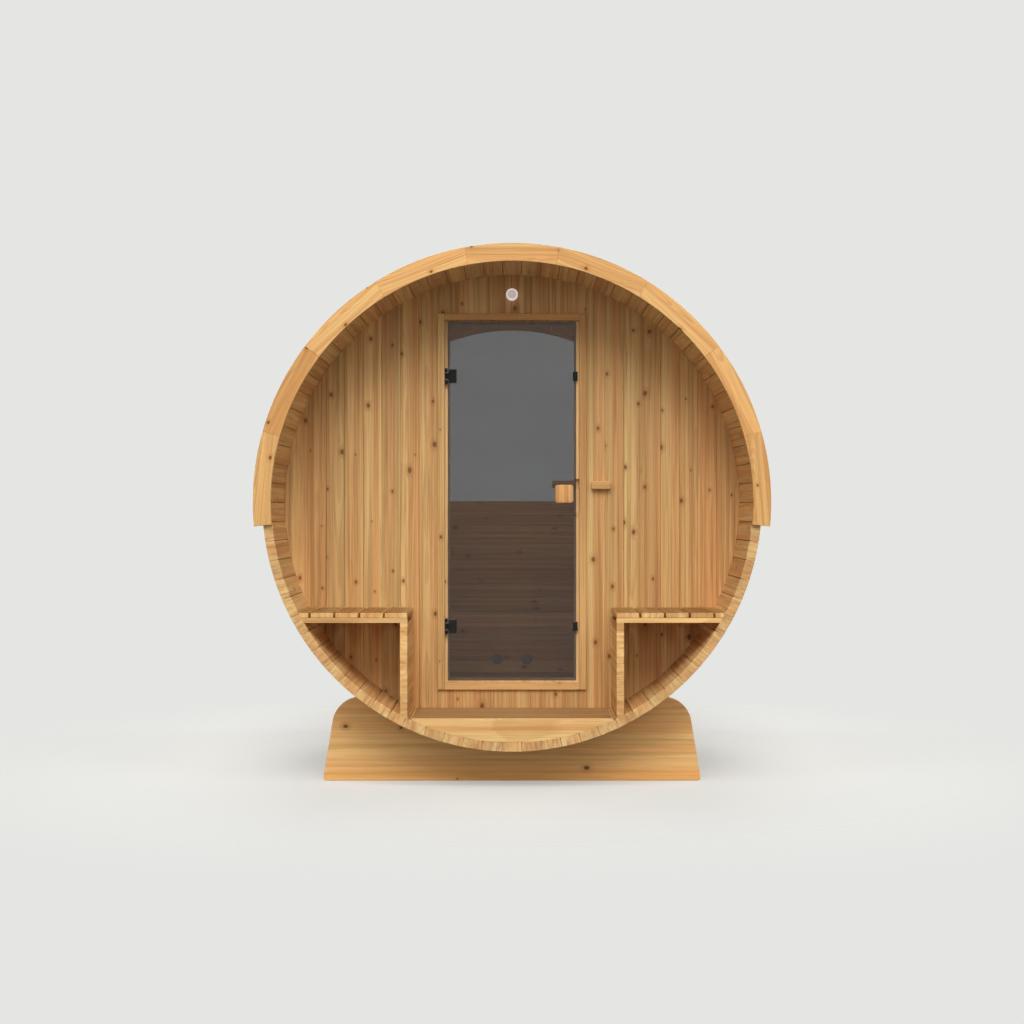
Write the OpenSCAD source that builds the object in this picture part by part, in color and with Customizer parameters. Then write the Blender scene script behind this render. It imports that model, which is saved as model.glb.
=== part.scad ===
// Barrel sauna: a stave barrel lying on two cradles, with a covered porch and a glass door.
// The origin is on the ground under the middle of the barrel. +Z is up and the porch faces -Y.

/* [Barrel] */
// Outer radius of the barrel
barrel_r = 1135; // [950:1:1362]
// Length of the staves
stave_len = 2356; // [1960:1:3600]
// Thickness of a stave
stave_t = 42; // [34:1:51]
// Number of staves round the barrel
stave_count = 78; // [60:1:96]
// Height of the lowest stave above the ground
ground_gap = 177; // [145:1:215]

/* [Cradles] */
// Height of a cradle at its ends
cradle_h = 390; // [340:1:430]
// Width of a cradle along the ground
cradle_w = 1784; // [1500:1:2100]
// Thickness of a cradle plank
cradle_t = 55; // [45:1:70]
// Distance from the stave ends to the face of a cradle
cradle_inset = 300; // [200:1:380]
// Lean of the cradle ends from upright, in degrees
cradle_lean = 9.2; // [0:0.1:14]
// Radius of the top corners of a cradle
cradle_top_r = 125; // [80:1:150]
// Radius of the bottom corners of a cradle
cradle_foot_r = 18; // [8:1:30]

/* [Roof] */
// Thickness of the shingle covering
shingle_t = 10; // [6:1:14]
// Angle that the covering reaches down to, from the top, in degrees
shingle_angle = 94; // [70:0.5:95]
// Width of the trim boards on the barrel ends
trim_w = 81; // [68:1:97]
// Thickness of the trim boards
trim_t = 22; // [18:1:27]
// Angle that the trim reaches down to, from the top, in degrees
trim_angle = 95.4; // [95:0.1:110]
// Number of boards in one trim arch
trim_count = 9; // [7:1:13]

/* [Hoops] */
// Number of steel hoops
hoop_count = 3; // [2:1:5]
// Width of a hoop
hoop_w = 30; // [20:1:40]
// Thickness of a hoop
hoop_t = 1.5; // [1:0.5:2.5]
// Distance from the stave ends to the outermost hoops
hoop_inset = 150; // [80:1:180]

/* [Walls and floor] */
// Depth of the porch, from the stave ends to the front wall
porch_depth = 440; // [370:1:528]
// Thickness of the front and rear walls
wall_t = 42; // [35:1:50]
// Depth of the recess behind the rear wall
rear_recess = 66; // [40:1:120]
// Height of the floor top above the inside of the lowest stave
floor_rise = 109; // [95:1:130]
// Width of the floor boards
floor_w = 912; // [760:1:930]
// Thickness of the floor boards
floor_t = 27; // [20:1:34]
// Thickness of the half-moon board that closes the floor at the porch
apron_t = 27; // [20:1:34]

/* [Benches] */
// Height of a bench top above the floor
bench_h = 481; // [400:1:560]
// Distance between the two bench fronts
bench_spacing = 950; // [930:1:1100]
// Thickness of a bench slat
slat_t = 23; // [19:1:28]
// Width of a bench slat
slat_w = 102.4; // [85:0.1:122]
// Gap between two slats
slat_gap = 10; // [6:1:14]
// Height of the bearers under the slats
bearer_h = 23; // [19:1:40]
// Depth of a bearer, front to back
bearer_d = 45; // [35:1:55]
// Thickness of the bench side panel
panel_t = 34; // [28:1:41]

/* [Door] */
// Width of the door frame
frame_w = 713; // [600:1:850]
// Height of the door frame
frame_h = 1804; // [1500:1:1840]
// Width of the frame's posts and rails
frame_face = 34; // [28:1:45]
// Depth of the frame
frame_d = 70; // [60:1:80]
// How far the frame stands out of the wall on each side
frame_proud = 14; // [6:1:20]
// Height of the frame's lower edge above the floor
frame_rise = 87; // [70:1:100]
// Thickness of the glass
glass_t = 8; // [6:1:10]
// Depth of the glass behind the front of the frame
glass_set = 8; // [6:1:12]
// Gap between the glass and the frame's posts
side_gap = 14.5; // [13:0.5:18]
// Gap between the glass and the top rail
top_gap = 7; // [6:0.5:12]
// Gap between the glass and the bottom rail
bottom_gap = 10; // [6:0.5:14]
// How far the stops reach behind the edge of the glass
stop_lap = 9; // [6:1:14]
// Gap between the glass and the stops
stop_gap = 10; // [10:0.5:12]
// Distance of the hinges from the ends of the glass
hinge_inset = 260; // [200:1:320]

/* [Knob and fittings] */
// Width and height of the square knob
knob_size = 87; // [72:1:104]
// Projection of the knob from the glass
knob_d = 38; // [30:1:45]
// Distance from the edge of the glass to the middle of the knob
knob_edge = 58.5; // [54:0.5:70]
// Height of the middle of the knob above the middle of the glass
knob_rise = 35; // [-100:1:200]
// Length of the bar on the inner side of the glass
bar_len = 114; // [95:1:130]
// Height of the inner bar
bar_h = 36; // [30:1:43]
// Projection of the inner bar from the glass
bar_d = 24; // [20:1:30]
// Diameter of the porch lamp
lamp_dia = 57; // [48:1:68]
// Projection of the porch lamp
lamp_d = 25; // [18:1:35]
// Diameter of a vent cover
vent_dia = 61; // [50:1:73]

/* [Hidden] */

$fn = 180;
fit = 0.3;              // clearance where a piece meets the round inside or outside of the barrel
joint = 1;              // open joint between the boards of an arch
seam = 0.1;             // seam between two plates of the shell, and between it and the trim
past = 10;              // how far a cutter runs past what it cuts

// Barrel
inner_r = barrel_r - stave_t;
lining_r = inner_r - fit;
axis_z = ground_gap + barrel_r;
front_y = -stave_len / 2;
rear_y = stave_len / 2;
stave_pitch = 360 / stave_count;
shell_parts = 12;

// Walls and floor
wall_front_y = front_y + porch_depth;
wall_back_y = wall_front_y + wall_t;
rear_wall_back_y = rear_y - rear_recess;
rear_wall_front_y = rear_wall_back_y - wall_t;
floor_z = axis_z - inner_r + floor_rise;
window_sill_z = axis_z + 19;
window_rim_w = 70;
window_glass_lap = 15;
window_glass_t = 8;
window_rim_parts = 7;
vent_cover_t = 12;
vent_spacing = 174;
vent_rise = 77;

// Benches
bench_z = floor_z + bench_h;
bench_x = bench_spacing / 2;
slat_count = 5;
panel_top_z = bench_z - slat_t - bearer_h;

// Door
frame_z0 = floor_z + frame_rise;
frame_z1 = frame_z0 + frame_h;
frame_y = wall_front_y - frame_proud;
opening_w = frame_w - 2 * frame_face;
opening_z0 = frame_z0 + frame_face;
opening_z1 = frame_z1 - frame_face;
glass_w = opening_w - 2 * side_gap;
glass_y = frame_y + glass_set;
glass_back_y = glass_y + glass_t;
glass_z0 = opening_z0 + bottom_gap;
glass_z1 = opening_z1 - top_gap;
glass_mid_z = (glass_z0 + glass_z1) / 2;
stop_y = glass_back_y + stop_gap;
stop_d = frame_y + frame_d - stop_y;
stop_joint = 0.5;

// Hinges, on an upright axis in the gap at the left edge of the glass
hinge_z = [glass_z0 + hinge_inset, glass_z1 - hinge_inset];
hinge_r = 5.5;
hinge_pin_r = 2.5;
hinge_pin_fit = 0.1;
hinge_x = -glass_w / 2 - hinge_r - 0.5;
hinge_y = glass_y - 4;
hinge_h = 76;
hinge_mid_h = 33;
hinge_play = 0.5;
hinge_leaf_t = 2;
clamp_w = 37;
clamp_h = 66;
clamp_t = 5;
clamp_inset = 5.5;
clamp_arm_h = 28;

// Knob, bar, catches and the fittings on the front wall
knob_corner_r = 8;
knob_x = glass_w / 2 - knob_edge;
knob_z = glass_mid_z + knob_rise;
bar_x = glass_w / 2 - 1.5 - bar_len / 2;
bar_z = knob_z + 46;
bar_room = 8;
catch_w = 23;
catch_h = 43;
catch_t = 4;
catch_lap = 16.5;
block_w = 95;
block_h = 39;
block_d = 30;
block_x = frame_w / 2 + 70;
block_z = knob_z + 41.5;
block_corner_r = 6;
lamp_drop = 96;
lamp_edge_r = 4;

// Point of the barrel's cross-section at an angle from the top, clockwise as seen from the porch
function on_ring(r, a) = [r * sin(a), 0, axis_z + r * cos(a)];

// Length of ring between two angles from the top, clockwise as seen from the porch,
// with half of a gap taken off at each end
module arc_plate(r0, r1, y0, length, a0, a1, gap = 0) {
    half_gap = gap / 2 / r0 * 180 / PI;
    translate([0, y0 + length, axis_z])
        rotate([90, 0, 0])
            rotate([0, 0, 90 - a1 + half_gap])
                rotate_extrude(angle = a1 - a0 - 2 * half_gap)
                    translate([r0, 0]) square([r1 - r0, length]);
}

// Round plate across the barrel
module disc(r, y0, t) {
    translate([0, y0 + t, axis_z]) rotate([90, 0, 0]) cylinder(r = r, h = t);
}

// Box given by its lowest and highest corners
module slab(low, high) {
    translate(low) cube(high - low);
}

// Part of a slab that lies inside the barrel
module lined_slab(low, high) {
    intersection() {
        disc(lining_r, low[1], high[1] - low[1]);
        slab([low[0], low[1] - past, low[2]], [high[0], high[1] + past, high[2]]);
    }
}

// Square-edged board with rounded corners, seen from the porch
module rounded_board(w, h, t, r, mid) {
    translate([mid[0], mid[1] + t, mid[2]])
        rotate([90, 0, 0])
            linear_extrude(t) {
                square([w - 2 * r, h], center = true);
                square([w, h - 2 * r], center = true);
                for (sx = [-1, 1], sz = [-1, 1])
                    translate([sx * (w / 2 - r), sz * (h / 2 - r)]) circle(r, $fn = 48);
            }
}

module left_and_right() {
    children();
    mirror([1, 0, 0]) children();
}

// The barrel's shell: each plate takes a whole number of staves, with one stave dead centre below
function stave_edge(i) = 180 + (round(i * stave_count / shell_parts) - 0.5) * stave_pitch;

module staves(i) {
    color("burlywood")
        arc_plate(inner_r, barrel_r, front_y, stave_len, stave_edge(i), stave_edge(i + 1), seam);
}

// Steel hoops with a tightening screw low on the right side
module steel_hoops() {
    hoop_r = barrel_r + 0.2;
    lug_angle = 118;
    lug_spread = 3;
    lug = [14, hoop_w - 6, 16];
    color("silver")
        for (i = [0 : hoop_count - 1]) {
            y = front_y + hoop_inset + i * (stave_len - 2 * hoop_inset) / (hoop_count - 1);
            difference() {
                disc(hoop_r + hoop_t, y - hoop_w / 2, hoop_w);
                disc(hoop_r, y - hoop_w / 2 - past, hoop_w + 2 * past);
            }
            for (side = [-1, 1])
                translate(on_ring(hoop_r + hoop_t / 2, lug_angle + side * lug_spread))
                    rotate([0, lug_angle + side * lug_spread, 0])
                        translate([-lug[0] / 2, y - lug[1] / 2, 0]) cube(lug);
            translate(on_ring(hoop_r + lug[2] / 2, lug_angle) + [0, y, 0])
                rotate([0, lug_angle + 90, 0]) cylinder(d = 8, h = 170, center = true, $fn = 32);
        }
}

// Shingle covering over the upper staves, with shallow channels where it lies over the hoops
module roof_shingles() {
    channel_r = barrel_r + hoop_t + 0.6;
    channel_w = hoop_w + 4;
    color("dimgray")
        difference() {
            arc_plate(barrel_r + fit, barrel_r + shingle_t, front_y, stave_len,
                -shingle_angle, shingle_angle);
            for (i = [0 : hoop_count - 1]) {
                y = front_y + hoop_inset + i * (stave_len - 2 * hoop_inset) / (hoop_count - 1);
                disc(channel_r, y - channel_w / 2, channel_w);
            }
        }
}

// Arch of trim boards on the stave ends, over the edge of the shingles
module trim(y0) {
    step = 2 * trim_angle / trim_count;
    color("sandybrown")
        for (i = [0 : trim_count - 1])
            arc_plate(inner_r, inner_r + trim_w, y0, trim_t - seam,
                -trim_angle + i * step, -trim_angle + (i + 1) * step, joint);
}

module front_trim() { trim(front_y - trim_t); }
module rear_trim() { trim(rear_y + seam); }

// Cradle outline: leaning ends with round corners
module cradle_outline() {
    out = [cos(cradle_lean), sin(cradle_lean)];
    foot = [cradle_w / 2 - cradle_foot_r / tan((90 - cradle_lean) / 2), cradle_foot_r];
    top = [cradle_w / 2 - cradle_h * tan(cradle_lean) - cradle_top_r / tan((90 + cradle_lean) / 2),
        cradle_h - cradle_top_r];
    foot_edge = foot + cradle_foot_r * out;
    top_edge = top + cradle_top_r * out;
    polygon([[foot[0], 0], foot_edge, top_edge, [top[0], cradle_h],
        [-top[0], cradle_h], [-top_edge[0], top_edge[1]], [-foot_edge[0], foot_edge[1]], [-foot[0], 0]]);
    for (side = [-1, 1]) {
        translate([side * foot[0], foot[1]]) circle(cradle_foot_r, $fn = 48);
        translate([side * top[0], top[1]]) circle(cradle_top_r);
    }
}

// Cradle plank, hollowed to the barrel
module cradle(y0) {
    color("peru")
        difference() {
            translate([0, y0 + cradle_t, 0]) rotate([90, 0, 0]) linear_extrude(cradle_t) cradle_outline();
            disc(barrel_r + fit, y0 - past, cradle_t + 2 * past);
        }
}

module cradle_front() { cradle(front_y + cradle_inset); }
module cradle_rear() { cradle(rear_y - cradle_inset - cradle_t); }

// Front wall: upright boards round the door frame, in four plates
module front_wall_side() {
    color("burlywood")
        lined_slab([frame_w / 2, wall_front_y, floor_z - floor_rise], [inner_r, wall_back_y, axis_z + inner_r]);
}

module front_wall_left() { mirror([1, 0, 0]) front_wall_side(); }
module front_wall_right() { front_wall_side(); }

module front_wall_over_door() {
    color("burlywood")
        lined_slab([-frame_w / 2, wall_front_y, frame_z1], [frame_w / 2, wall_back_y, axis_z + inner_r]);
}

module front_wall_under_door() {
    color("burlywood")
        lined_slab([-frame_w / 2, wall_front_y, axis_z - inner_r], [frame_w / 2, wall_back_y, frame_z0]);
}

// Rear wall: lying boards up to the sill, with a half-moon window above
module rear_wall() {
    color("burlywood")
        lined_slab([-inner_r, rear_wall_front_y, axis_z - inner_r], [inner_r, rear_wall_back_y, window_sill_z]);
}

module rear_window_rim() {
    end_angle = 90 - asin((window_sill_z - axis_z) / lining_r) - 0.5;
    step = 2 * end_angle / window_rim_parts;
    color("burlywood")
        difference() {
            for (i = [0 : window_rim_parts - 1])
                arc_plate(lining_r - window_rim_w, lining_r, rear_wall_front_y, wall_t,
                    -end_angle + i * step, -end_angle + (i + 1) * step, joint);
            disc(lining_r - window_rim_w + window_glass_lap, glazing_y() - fit, window_glass_t + 2 * fit);
        }
}

function glazing_y() = rear_wall_front_y + (wall_t - window_glass_t) / 2;

module rear_window_glass() {
    color("lightgray", 0.5)
        intersection() {
            disc(lining_r - window_rim_w + window_glass_lap - fit, glazing_y(), window_glass_t);
            slab([-inner_r, glazing_y() - past, window_sill_z], [inner_r, glazing_y() + window_glass_t + past,
                axis_z + inner_r]);
        }
}

// Round vent covers low on both faces of the rear wall
module rear_vents() {
    color("dimgray")
        left_and_right()
            for (y = [rear_wall_front_y - vent_cover_t, rear_wall_back_y])
                translate([vent_spacing / 2, y + vent_cover_t, floor_z + vent_rise])
                    rotate([90, 0, 0]) cylinder(d = vent_dia, h = vent_cover_t, $fn = 64);
}

// Floors: boards that end on the staves
module porch_floor() {
    color("tan")
        lined_slab([-floor_w / 2, front_y + apron_t, floor_z - floor_t], [floor_w / 2, wall_front_y, floor_z]);
}

module sauna_floor() {
    color("tan")
        lined_slab([-floor_w / 2, wall_back_y, floor_z - floor_t], [floor_w / 2, rear_wall_front_y, floor_z]);
}

module porch_apron() {
    color("burlywood")
        lined_slab([-floor_w / 2, front_y, axis_z - inner_r], [floor_w / 2, front_y + apron_t, floor_z]);
}

// Benches: slats that run front to back on two bearers, with a boarded side panel
module bench_slats() {
    color("burlywood")
        for (i = [0 : slat_count - 1]) {
            x = bench_x + i * (slat_w + slat_gap);
            outer = i == slat_count - 1 ? inner_r : x + slat_w;
            lined_slab([x, front_y, bench_z - slat_t], [outer, wall_front_y, bench_z]);
        }
}

module bench_panel() {
    color("burlywood")
        lined_slab([bench_x, front_y, axis_z - inner_r], [bench_x + panel_t, wall_front_y, panel_top_z]);
}

module bench_slats_left() { mirror([1, 0, 0]) bench_slats(); }
module bench_slats_right() { bench_slats(); }
module bench_panel_left() { mirror([1, 0, 0]) bench_panel(); }
module bench_panel_right() { bench_panel(); }

module bench_bearers() {
    color("burlywood")
        left_and_right()
            for (y = [front_y, wall_front_y - bearer_d])
                lined_slab([bench_x, y, panel_top_z], [inner_r, y + bearer_d, bench_z - slat_t]);
}

// Door frame: two posts with the rails between them
module door_jambs() {
    color("burlywood")
        left_and_right()
            slab([opening_w / 2, frame_y, frame_z0], [frame_w / 2, frame_y + frame_d, frame_z1]);
}

module door_rails() {
    color("burlywood")
        for (z = [frame_z0, opening_z1])
            slab([-opening_w / 2, frame_y, z], [opening_w / 2, frame_y + frame_d, z + frame_face]);
}

// Stops behind the glass, the right one thinner where the inner bar lies in front of it
module door_stops() {
    outer_x = opening_w / 2;
    inner_x = glass_w / 2 - stop_lap;
    back_y = stop_y + stop_d;
    bar_z0 = bar_z - bar_h / 2 - bar_room;
    bar_z1 = bar_z + bar_h / 2 + bar_room;
    color("tan") {
        slab([-outer_x, stop_y, opening_z0], [-inner_x, back_y, opening_z1]);
        slab([inner_x, stop_y, opening_z0], [outer_x, back_y, bar_z0]);
        slab([inner_x, stop_y, bar_z1], [outer_x, back_y, opening_z1]);
        slab([inner_x, glass_back_y + bar_d + bar_room, bar_z0], [outer_x, back_y, bar_z1]);
        slab([-inner_x + stop_joint, stop_y, glass_z1 - stop_lap], [inner_x - stop_joint, back_y, opening_z1]);
        slab([-inner_x + stop_joint, stop_y, opening_z0], [inner_x - stop_joint, back_y, glass_z0 + stop_lap]);
    }
}

// Fixed half of the hinges: a leaf on the left post, the outer knuckles and the pin
module frame_hinges() {
    knuckle_h = (hinge_h - hinge_mid_h) / 2 - hinge_play;
    color("dimgray")
        for (z = hinge_z) {
            translate([hinge_x, hinge_y, z - hinge_h / 2])
                cylinder(r = hinge_pin_r, h = hinge_h, $fn = 48);
            for (z0 = [z - hinge_h / 2, z + hinge_h / 2 - knuckle_h]) {
                translate([hinge_x, hinge_y, z0]) cylinder(r = hinge_r, h = knuckle_h, $fn = 48);
                slab([-opening_w / 2, hinge_y - 4, z0], [hinge_x, hinge_y + 4, z0 + knuckle_h]);
            }
            slab([-opening_w / 2, hinge_y - 4, z - hinge_h / 2],
                [-opening_w / 2 + hinge_leaf_t, stop_y - stop_joint, z + hinge_h / 2]);
        }
}

// Frameless glass leaf
module door_glass() {
    color("slategray", 0.5)
        slab([-glass_w / 2, glass_y, glass_z0], [glass_w / 2, glass_back_y, glass_z1]);
}

// Moving half of the hinges: the middle knuckle and the plates that clamp the glass
module door_hinges() {
    plate_x = -glass_w / 2 + clamp_inset;
    color("dimgray")
        for (z = hinge_z) {
            difference() {
                union() {
                    translate([hinge_x, hinge_y, z - hinge_mid_h / 2])
                        cylinder(r = hinge_r, h = hinge_mid_h, $fn = 48);
                    slab([hinge_x, glass_y - clamp_t, z - clamp_arm_h / 2],
                        [plate_x + past, glass_y, z + clamp_arm_h / 2]);
                    slab([plate_x, glass_y - clamp_t, z - clamp_h / 2],
                        [plate_x + clamp_w, glass_y, z + clamp_h / 2]);
                }
                translate([hinge_x, hinge_y, z - hinge_h / 2])
                    cylinder(r = hinge_pin_r + hinge_pin_fit, h = hinge_h, $fn = 48);
            }
            slab([plate_x, glass_back_y, z - clamp_h / 2],
                [plate_x + clamp_w, glass_back_y + clamp_t, z + clamp_h / 2]);
        }
}

// Square knob outside and the bar inside
module door_knob() {
    color("burlywood")
        rounded_board(knob_size, knob_size, knob_d, knob_corner_r, [knob_x, glass_y - knob_d, knob_z]);
}

module inside_handle() {
    color("saddlebrown")
        rounded_board(bar_len, bar_h, bar_d, knob_corner_r, [bar_x, glass_back_y, bar_z]);
}

// Catches: clips round the free edge of the glass
module door_catches() {
    color("dimgray")
        for (z = hinge_z)
            difference() {
                slab([glass_w / 2 - catch_lap, glass_y - catch_t, z - catch_h / 2],
                    [glass_w / 2 - catch_lap + catch_w, glass_back_y + catch_t, z + catch_h / 2]);
                slab([glass_w / 2 - catch_lap - past, glass_y, z - catch_h],
                    [glass_w / 2, glass_back_y, z + catch_h]);
            }
}

// Wooden block on the wall beside the door, and the round lamp above it
module wall_block() {
    color("burlywood")
        rounded_board(block_w, block_h, block_d, block_corner_r, [block_x, wall_front_y - block_d, block_z]);
}

module porch_lamp() {
    color("white")
        translate([0, wall_front_y, axis_z + inner_r - lamp_drop])
            rotate([90, 0, 0])
                rotate_extrude() {
                    square([lamp_dia / 2, lamp_d - lamp_edge_r]);
                    square([lamp_dia / 2 - lamp_edge_r, lamp_d]);
                    translate([lamp_dia / 2 - lamp_edge_r, lamp_d - lamp_edge_r])
                        intersection() {
                            circle(lamp_edge_r, $fn = 32);
                            square(lamp_edge_r);
                        }
                }
}

for (i = [0 : shell_parts - 1])
    staves(i);
steel_hoops();
roof_shingles();
front_trim();
rear_trim();
cradle_front();
cradle_rear();
front_wall_left();
front_wall_right();
front_wall_over_door();
front_wall_under_door();
rear_wall();
rear_window_rim();
rear_window_glass();
rear_vents();
porch_floor();
porch_apron();
sauna_floor();
bench_slats_left();
bench_slats_right();
bench_bearers();
bench_panel_left();
bench_panel_right();
door_jambs();
door_rails();
door_stops();
frame_hinges();
door_glass();
door_hinges();
door_knob();
inside_handle();
door_catches();
wall_block();
porch_lamp();
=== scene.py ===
"""Looks of a stave barrel sauna, section by section in the order in which the real one is put together."""

import math
import random

import bmesh
import bpy
from mathutils import Matrix, Vector


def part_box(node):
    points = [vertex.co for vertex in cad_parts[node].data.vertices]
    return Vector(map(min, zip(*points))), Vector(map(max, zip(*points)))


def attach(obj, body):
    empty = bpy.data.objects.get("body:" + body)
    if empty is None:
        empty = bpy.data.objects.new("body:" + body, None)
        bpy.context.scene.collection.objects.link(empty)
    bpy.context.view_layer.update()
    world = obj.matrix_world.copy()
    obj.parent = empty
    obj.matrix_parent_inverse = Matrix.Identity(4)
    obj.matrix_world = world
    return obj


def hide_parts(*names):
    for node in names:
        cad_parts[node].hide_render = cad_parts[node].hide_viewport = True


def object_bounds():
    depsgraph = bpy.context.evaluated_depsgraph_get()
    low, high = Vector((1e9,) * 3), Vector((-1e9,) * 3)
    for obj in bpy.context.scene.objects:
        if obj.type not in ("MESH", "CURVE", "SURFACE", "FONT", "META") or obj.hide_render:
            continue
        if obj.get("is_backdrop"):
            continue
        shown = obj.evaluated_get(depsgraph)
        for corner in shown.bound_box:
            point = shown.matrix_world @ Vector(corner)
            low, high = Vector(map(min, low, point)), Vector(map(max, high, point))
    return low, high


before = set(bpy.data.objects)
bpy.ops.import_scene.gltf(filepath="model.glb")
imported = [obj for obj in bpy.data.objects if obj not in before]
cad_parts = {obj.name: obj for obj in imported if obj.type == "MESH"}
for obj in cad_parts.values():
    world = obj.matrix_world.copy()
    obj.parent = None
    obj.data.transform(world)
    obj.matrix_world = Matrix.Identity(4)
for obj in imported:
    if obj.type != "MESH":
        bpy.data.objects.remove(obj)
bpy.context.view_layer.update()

# Cradles
# Two planks of planed softwood, 55 mm thick, stand on edge across the barrel and carry its weight.
# Each is sawn from one wide board, hollowed to the round of the barrel, and has its edges taken off.
CRADLE_EDGE = 0.003


def srgb(red, green, blue):
    """A colour as it looks on a paint card, 0 to 255, in the linear values that a material takes."""
    def linear(value):
        value /= 255
        return value / 12.92 if value <= 0.04045 else ((value + 0.055) / 1.055) ** 2.4
    return linear(red), linear(green), linear(blue), 1.0


def add(tree, kind, feeds=(), **settings):
    """A new node. Feeds gives an input, by its name or its place, a value or the output that it takes."""
    made = tree.nodes.new(kind)
    for key, value in settings.items():
        setattr(made, key, value)
    for key, value in dict(feeds).items():
        if isinstance(value, bpy.types.NodeSocket):
            tree.links.new(value, made.inputs[key])
        else:
            made.inputs[key].default_value = value
    return made


def calc(tree, operation, *values):
    return add(tree, "ShaderNodeMath", enumerate(values), operation=operation).outputs[0]


def vector_calc(tree, operation, *values):
    made = add(tree, "ShaderNodeVectorMath", enumerate(values), operation=operation)
    return made.outputs["Value" if operation in ("LENGTH", "DOT_PRODUCT") else "Vector"]


def ramp(tree, value, start, end, low=0.0, high=1.0, kind="SMOOTHSTEP"):
    """Value taken from the range start to end into the range low to high."""
    feeds = {"Value": value, "From Min": start, "From Max": end, "To Min": low, "To Max": high}
    return add(tree, "ShaderNodeMapRange", feeds, interpolation_type=kind).outputs["Result"]


def blend(tree, share, first, second, kind="MIX"):
    """Two colours mixed by a share."""
    made = add(tree, "ShaderNodeMix", {0: share, 6: first, 7: second}, data_type="RGBA", blend_type=kind)
    return made.outputs[2]


def noise(tree, vector, scale=1.0, detail=2.0, rough=0.5, **settings):
    feeds = {"Vector": vector, "Scale": scale, "Detail": detail, "Roughness": rough}
    return add(tree, "ShaderNodeTexNoise", feeds, **settings).outputs["Fac"]


def shader_group(name, takes, gives):
    """An empty node group with named sockets, and its input and output nodes."""
    tree = bpy.data.node_groups.new(name, "ShaderNodeTree")
    for label, kind, value in takes:
        socket = tree.interface.new_socket(label, in_out="INPUT", socket_type=kind)
        if value is not None:
            socket.default_value = value
    for label, kind in gives:
        tree.interface.new_socket(label, in_out="OUTPUT", socket_type=kind)
    return tree, tree.nodes.new("NodeGroupInput").outputs, tree.nodes.new("NodeGroupOutput").inputs


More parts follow.
